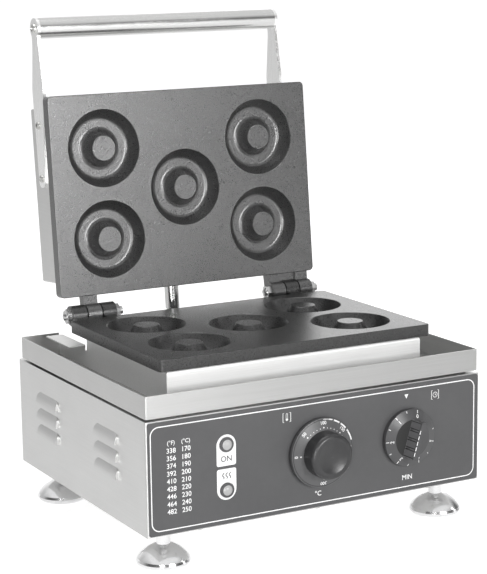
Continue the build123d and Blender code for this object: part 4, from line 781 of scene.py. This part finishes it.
hose = bmesh.new()
levels = [hose_length * step / HOSE_STEPS for step in range(HOSE_STEPS + 1)]
wall = [hose_ring(hose, level, lambda turn: HOSE_ROOT + rib_height(level, turn)) for level in levels]
bore = [hose_ring(hose, level, lambda turn: HOSE_BORE) for level in reversed(levels)]
rings = wall + bore
for near, far in zip(rings, rings[1:] + rings[:1]):
    for side in range(HOSE_SIDES):
        after = (side + 1) % HOSE_SIDES
        hose.faces.new((near[side], near[after], far[after], far[side]))
wound_hose = shaped("wound_hose", hose, CONDUIT_STEEL, 60)
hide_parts("conduit_hose")
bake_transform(wound_hose)

# Studio: a plain pale floor that runs out of view, and a white world. Polished surfaces see a room that is
# dark in front, dimmer on the left and bright behind and overhead. Five soft lamps stand round the object,
# the strongest in front, and the floor takes its shadow.
FLOOR_HALF = 60.0
floor_mesh = bmesh.new()
bmesh.ops.create_grid(floor_mesh, x_segments=1, y_segments=1, size=FLOOR_HALF)
floor_data = bpy.data.meshes.new("studio_floor")
floor_mesh.to_mesh(floor_data)
floor_mesh.free()
studio_floor = bpy.data.objects.new("studio_floor", floor_data)
bpy.context.scene.collection.objects.link(studio_floor)
floor_paper, tree, shader, place = blank_material("floor_paper", Roughness=0.9, Specular_IOR_Level=0.1)
fibres = noise(tree, place, 0.003, 3.0)
feed(tree, shader, Base_Color=tint(tree, fibres, (0.86, 0.86, 0.86), (0.9, 0.9, 0.9)))


def seen_rays(tree, in_metal=1.0):
    """One where a ray shows the background directly, and a share where metal or a lens shows it."""
    path = shader_node(tree, "ShaderNodeLightPath").outputs
    mirrored = maths(tree, "MAXIMUM", path["Is Glossy Ray"], path["Is Transmission Ray"])
    return maths(tree, "MAXIMUM", path["Is Camera Ray"], maths(tree, "MULTIPLY", mirrored, in_metal))


GLOW_NEAR, GLOW_FAR = 0.62, 0.74
shader.inputs["Emission Color"].default_value = (1, 1, 1, 1)
away = shader_node(tree, "ShaderNodeVectorMath", {0: place}, operation="LENGTH").outputs["Value"]
METAL_NEAR, METAL_FAR = 0.65, 0.4
in_metal = span(tree, away, METAL_NEAR, METAL_FAR, 0.4, 2.0)
glow = span(tree, away, GLOW_NEAR, GLOW_FAR, 0.3, 2.6)
feed(tree, shader, Emission_Strength=maths(tree, "MULTIPLY", glow, seen_rays(tree, in_metal)))
floor_data.materials.append(floor_paper)

world = bpy.data.worlds.new("studio")
bpy.context.scene.world = world
world.use_nodes = True
tree = world.node_tree
sky = tree.nodes["Background"]
sky.inputs["Color"].default_value = (1, 1, 1, 1)
ROOM_LIGHT, ROOM_FRONT, ROOM_LEFT, ROOM_BACK, ROOM_OVERHEAD = 0.34, 0.1, 0.55, 1.0, 0.88
facing_to = shader_node(tree, "ShaderNodeTexCoord").outputs["Generated"]
facing_to = shader_node(tree, "ShaderNodeSeparateXYZ", {0: facing_to}).outputs
back = span(tree, facing_to["X"], ROOM_LEFT, ROOM_BACK, -0.5, 0.0)
front = span(tree, facing_to["Y"], ROOM_FRONT, back, 0.15, 0.55)
overhead = span(tree, facing_to["Z"], 0.0, 1.0, 0.38, 0.7)
room = between(tree, overhead, front, ROOM_OVERHEAD)
path = shader_node(tree, "ShaderNodeLightPath").outputs
shown = maths(tree, "MAXIMUM", room, path["Is Camera Ray"])
feed(tree, sky, Strength=between(tree, seen_rays(tree), ROOM_LIGHT, shown))
OBJECT_MIDDLE = Vector((0, 0, 0.22))


def soft_lamp(name, spot, wide, tall, power):
    """An upright area lamp at a spot, facing the object's middle."""
    data = bpy.data.lights.new(name, "AREA")
    data.shape = "RECTANGLE"
    data.size = wide
    data.size_y = tall
    data.energy = power
    lamp = bpy.data.objects.new(name, data)
    lamp.location = spot
    lamp.rotation_euler = (OBJECT_MIDDLE - Vector(spot)).to_track_quat("-Z", "Y").to_euler()
    lamp.visible_camera = False
    bpy.context.scene.collection.objects.link(lamp)


soft_lamp("front_lamp", (0.6, -4.0, 1.1), 1.0, 1.1, 98)
soft_lamp("left_lamp", (-1.55, -2.35, 0.5), 0.7, 1.0, 36)
soft_lamp("right_lamp", (2.6, -1.1, 0.9), 0.4, 1.5, 5)
soft_lamp("top_lamp", (-0.3, 0.1, 2.8), 1.5, 1.5, 20)
soft_lamp("back_lamp", (1.5, 2.0, 0.75), 1.2, 1.0, 4)

# Camera: a long lens at the photograph's height and angle, upright frame.
# Its place and turn were found from measured points of the object.
IMAGE_HEIGHT = 574
FOCAL_PIXELS = 1869.042
lens = bpy.data.cameras.new("camera")
lens.sensor_fit = "VERTICAL"
lens.sensor_height = 24.0
lens.lens = FOCAL_PIXELS * lens.sensor_height / IMAGE_HEIGHT
lens.clip_end = 200.0
camera = bpy.data.objects.new("camera", lens)
turns = zip((-28.588, 78.974, -0.774), "ZXZ")
around, tilt, roll = [Matrix.Rotation(radians(angle), 4, axis) for angle, axis in turns]
camera.matrix_world = Matrix.Translation((-0.8650, -1.6044, 0.5767)) @ around @ tilt @ roll
bpy.context.scene.collection.objects.link(camera)
bpy.context.scene.camera = camera
bpy.context.scene.view_settings.view_transform = "Standard"
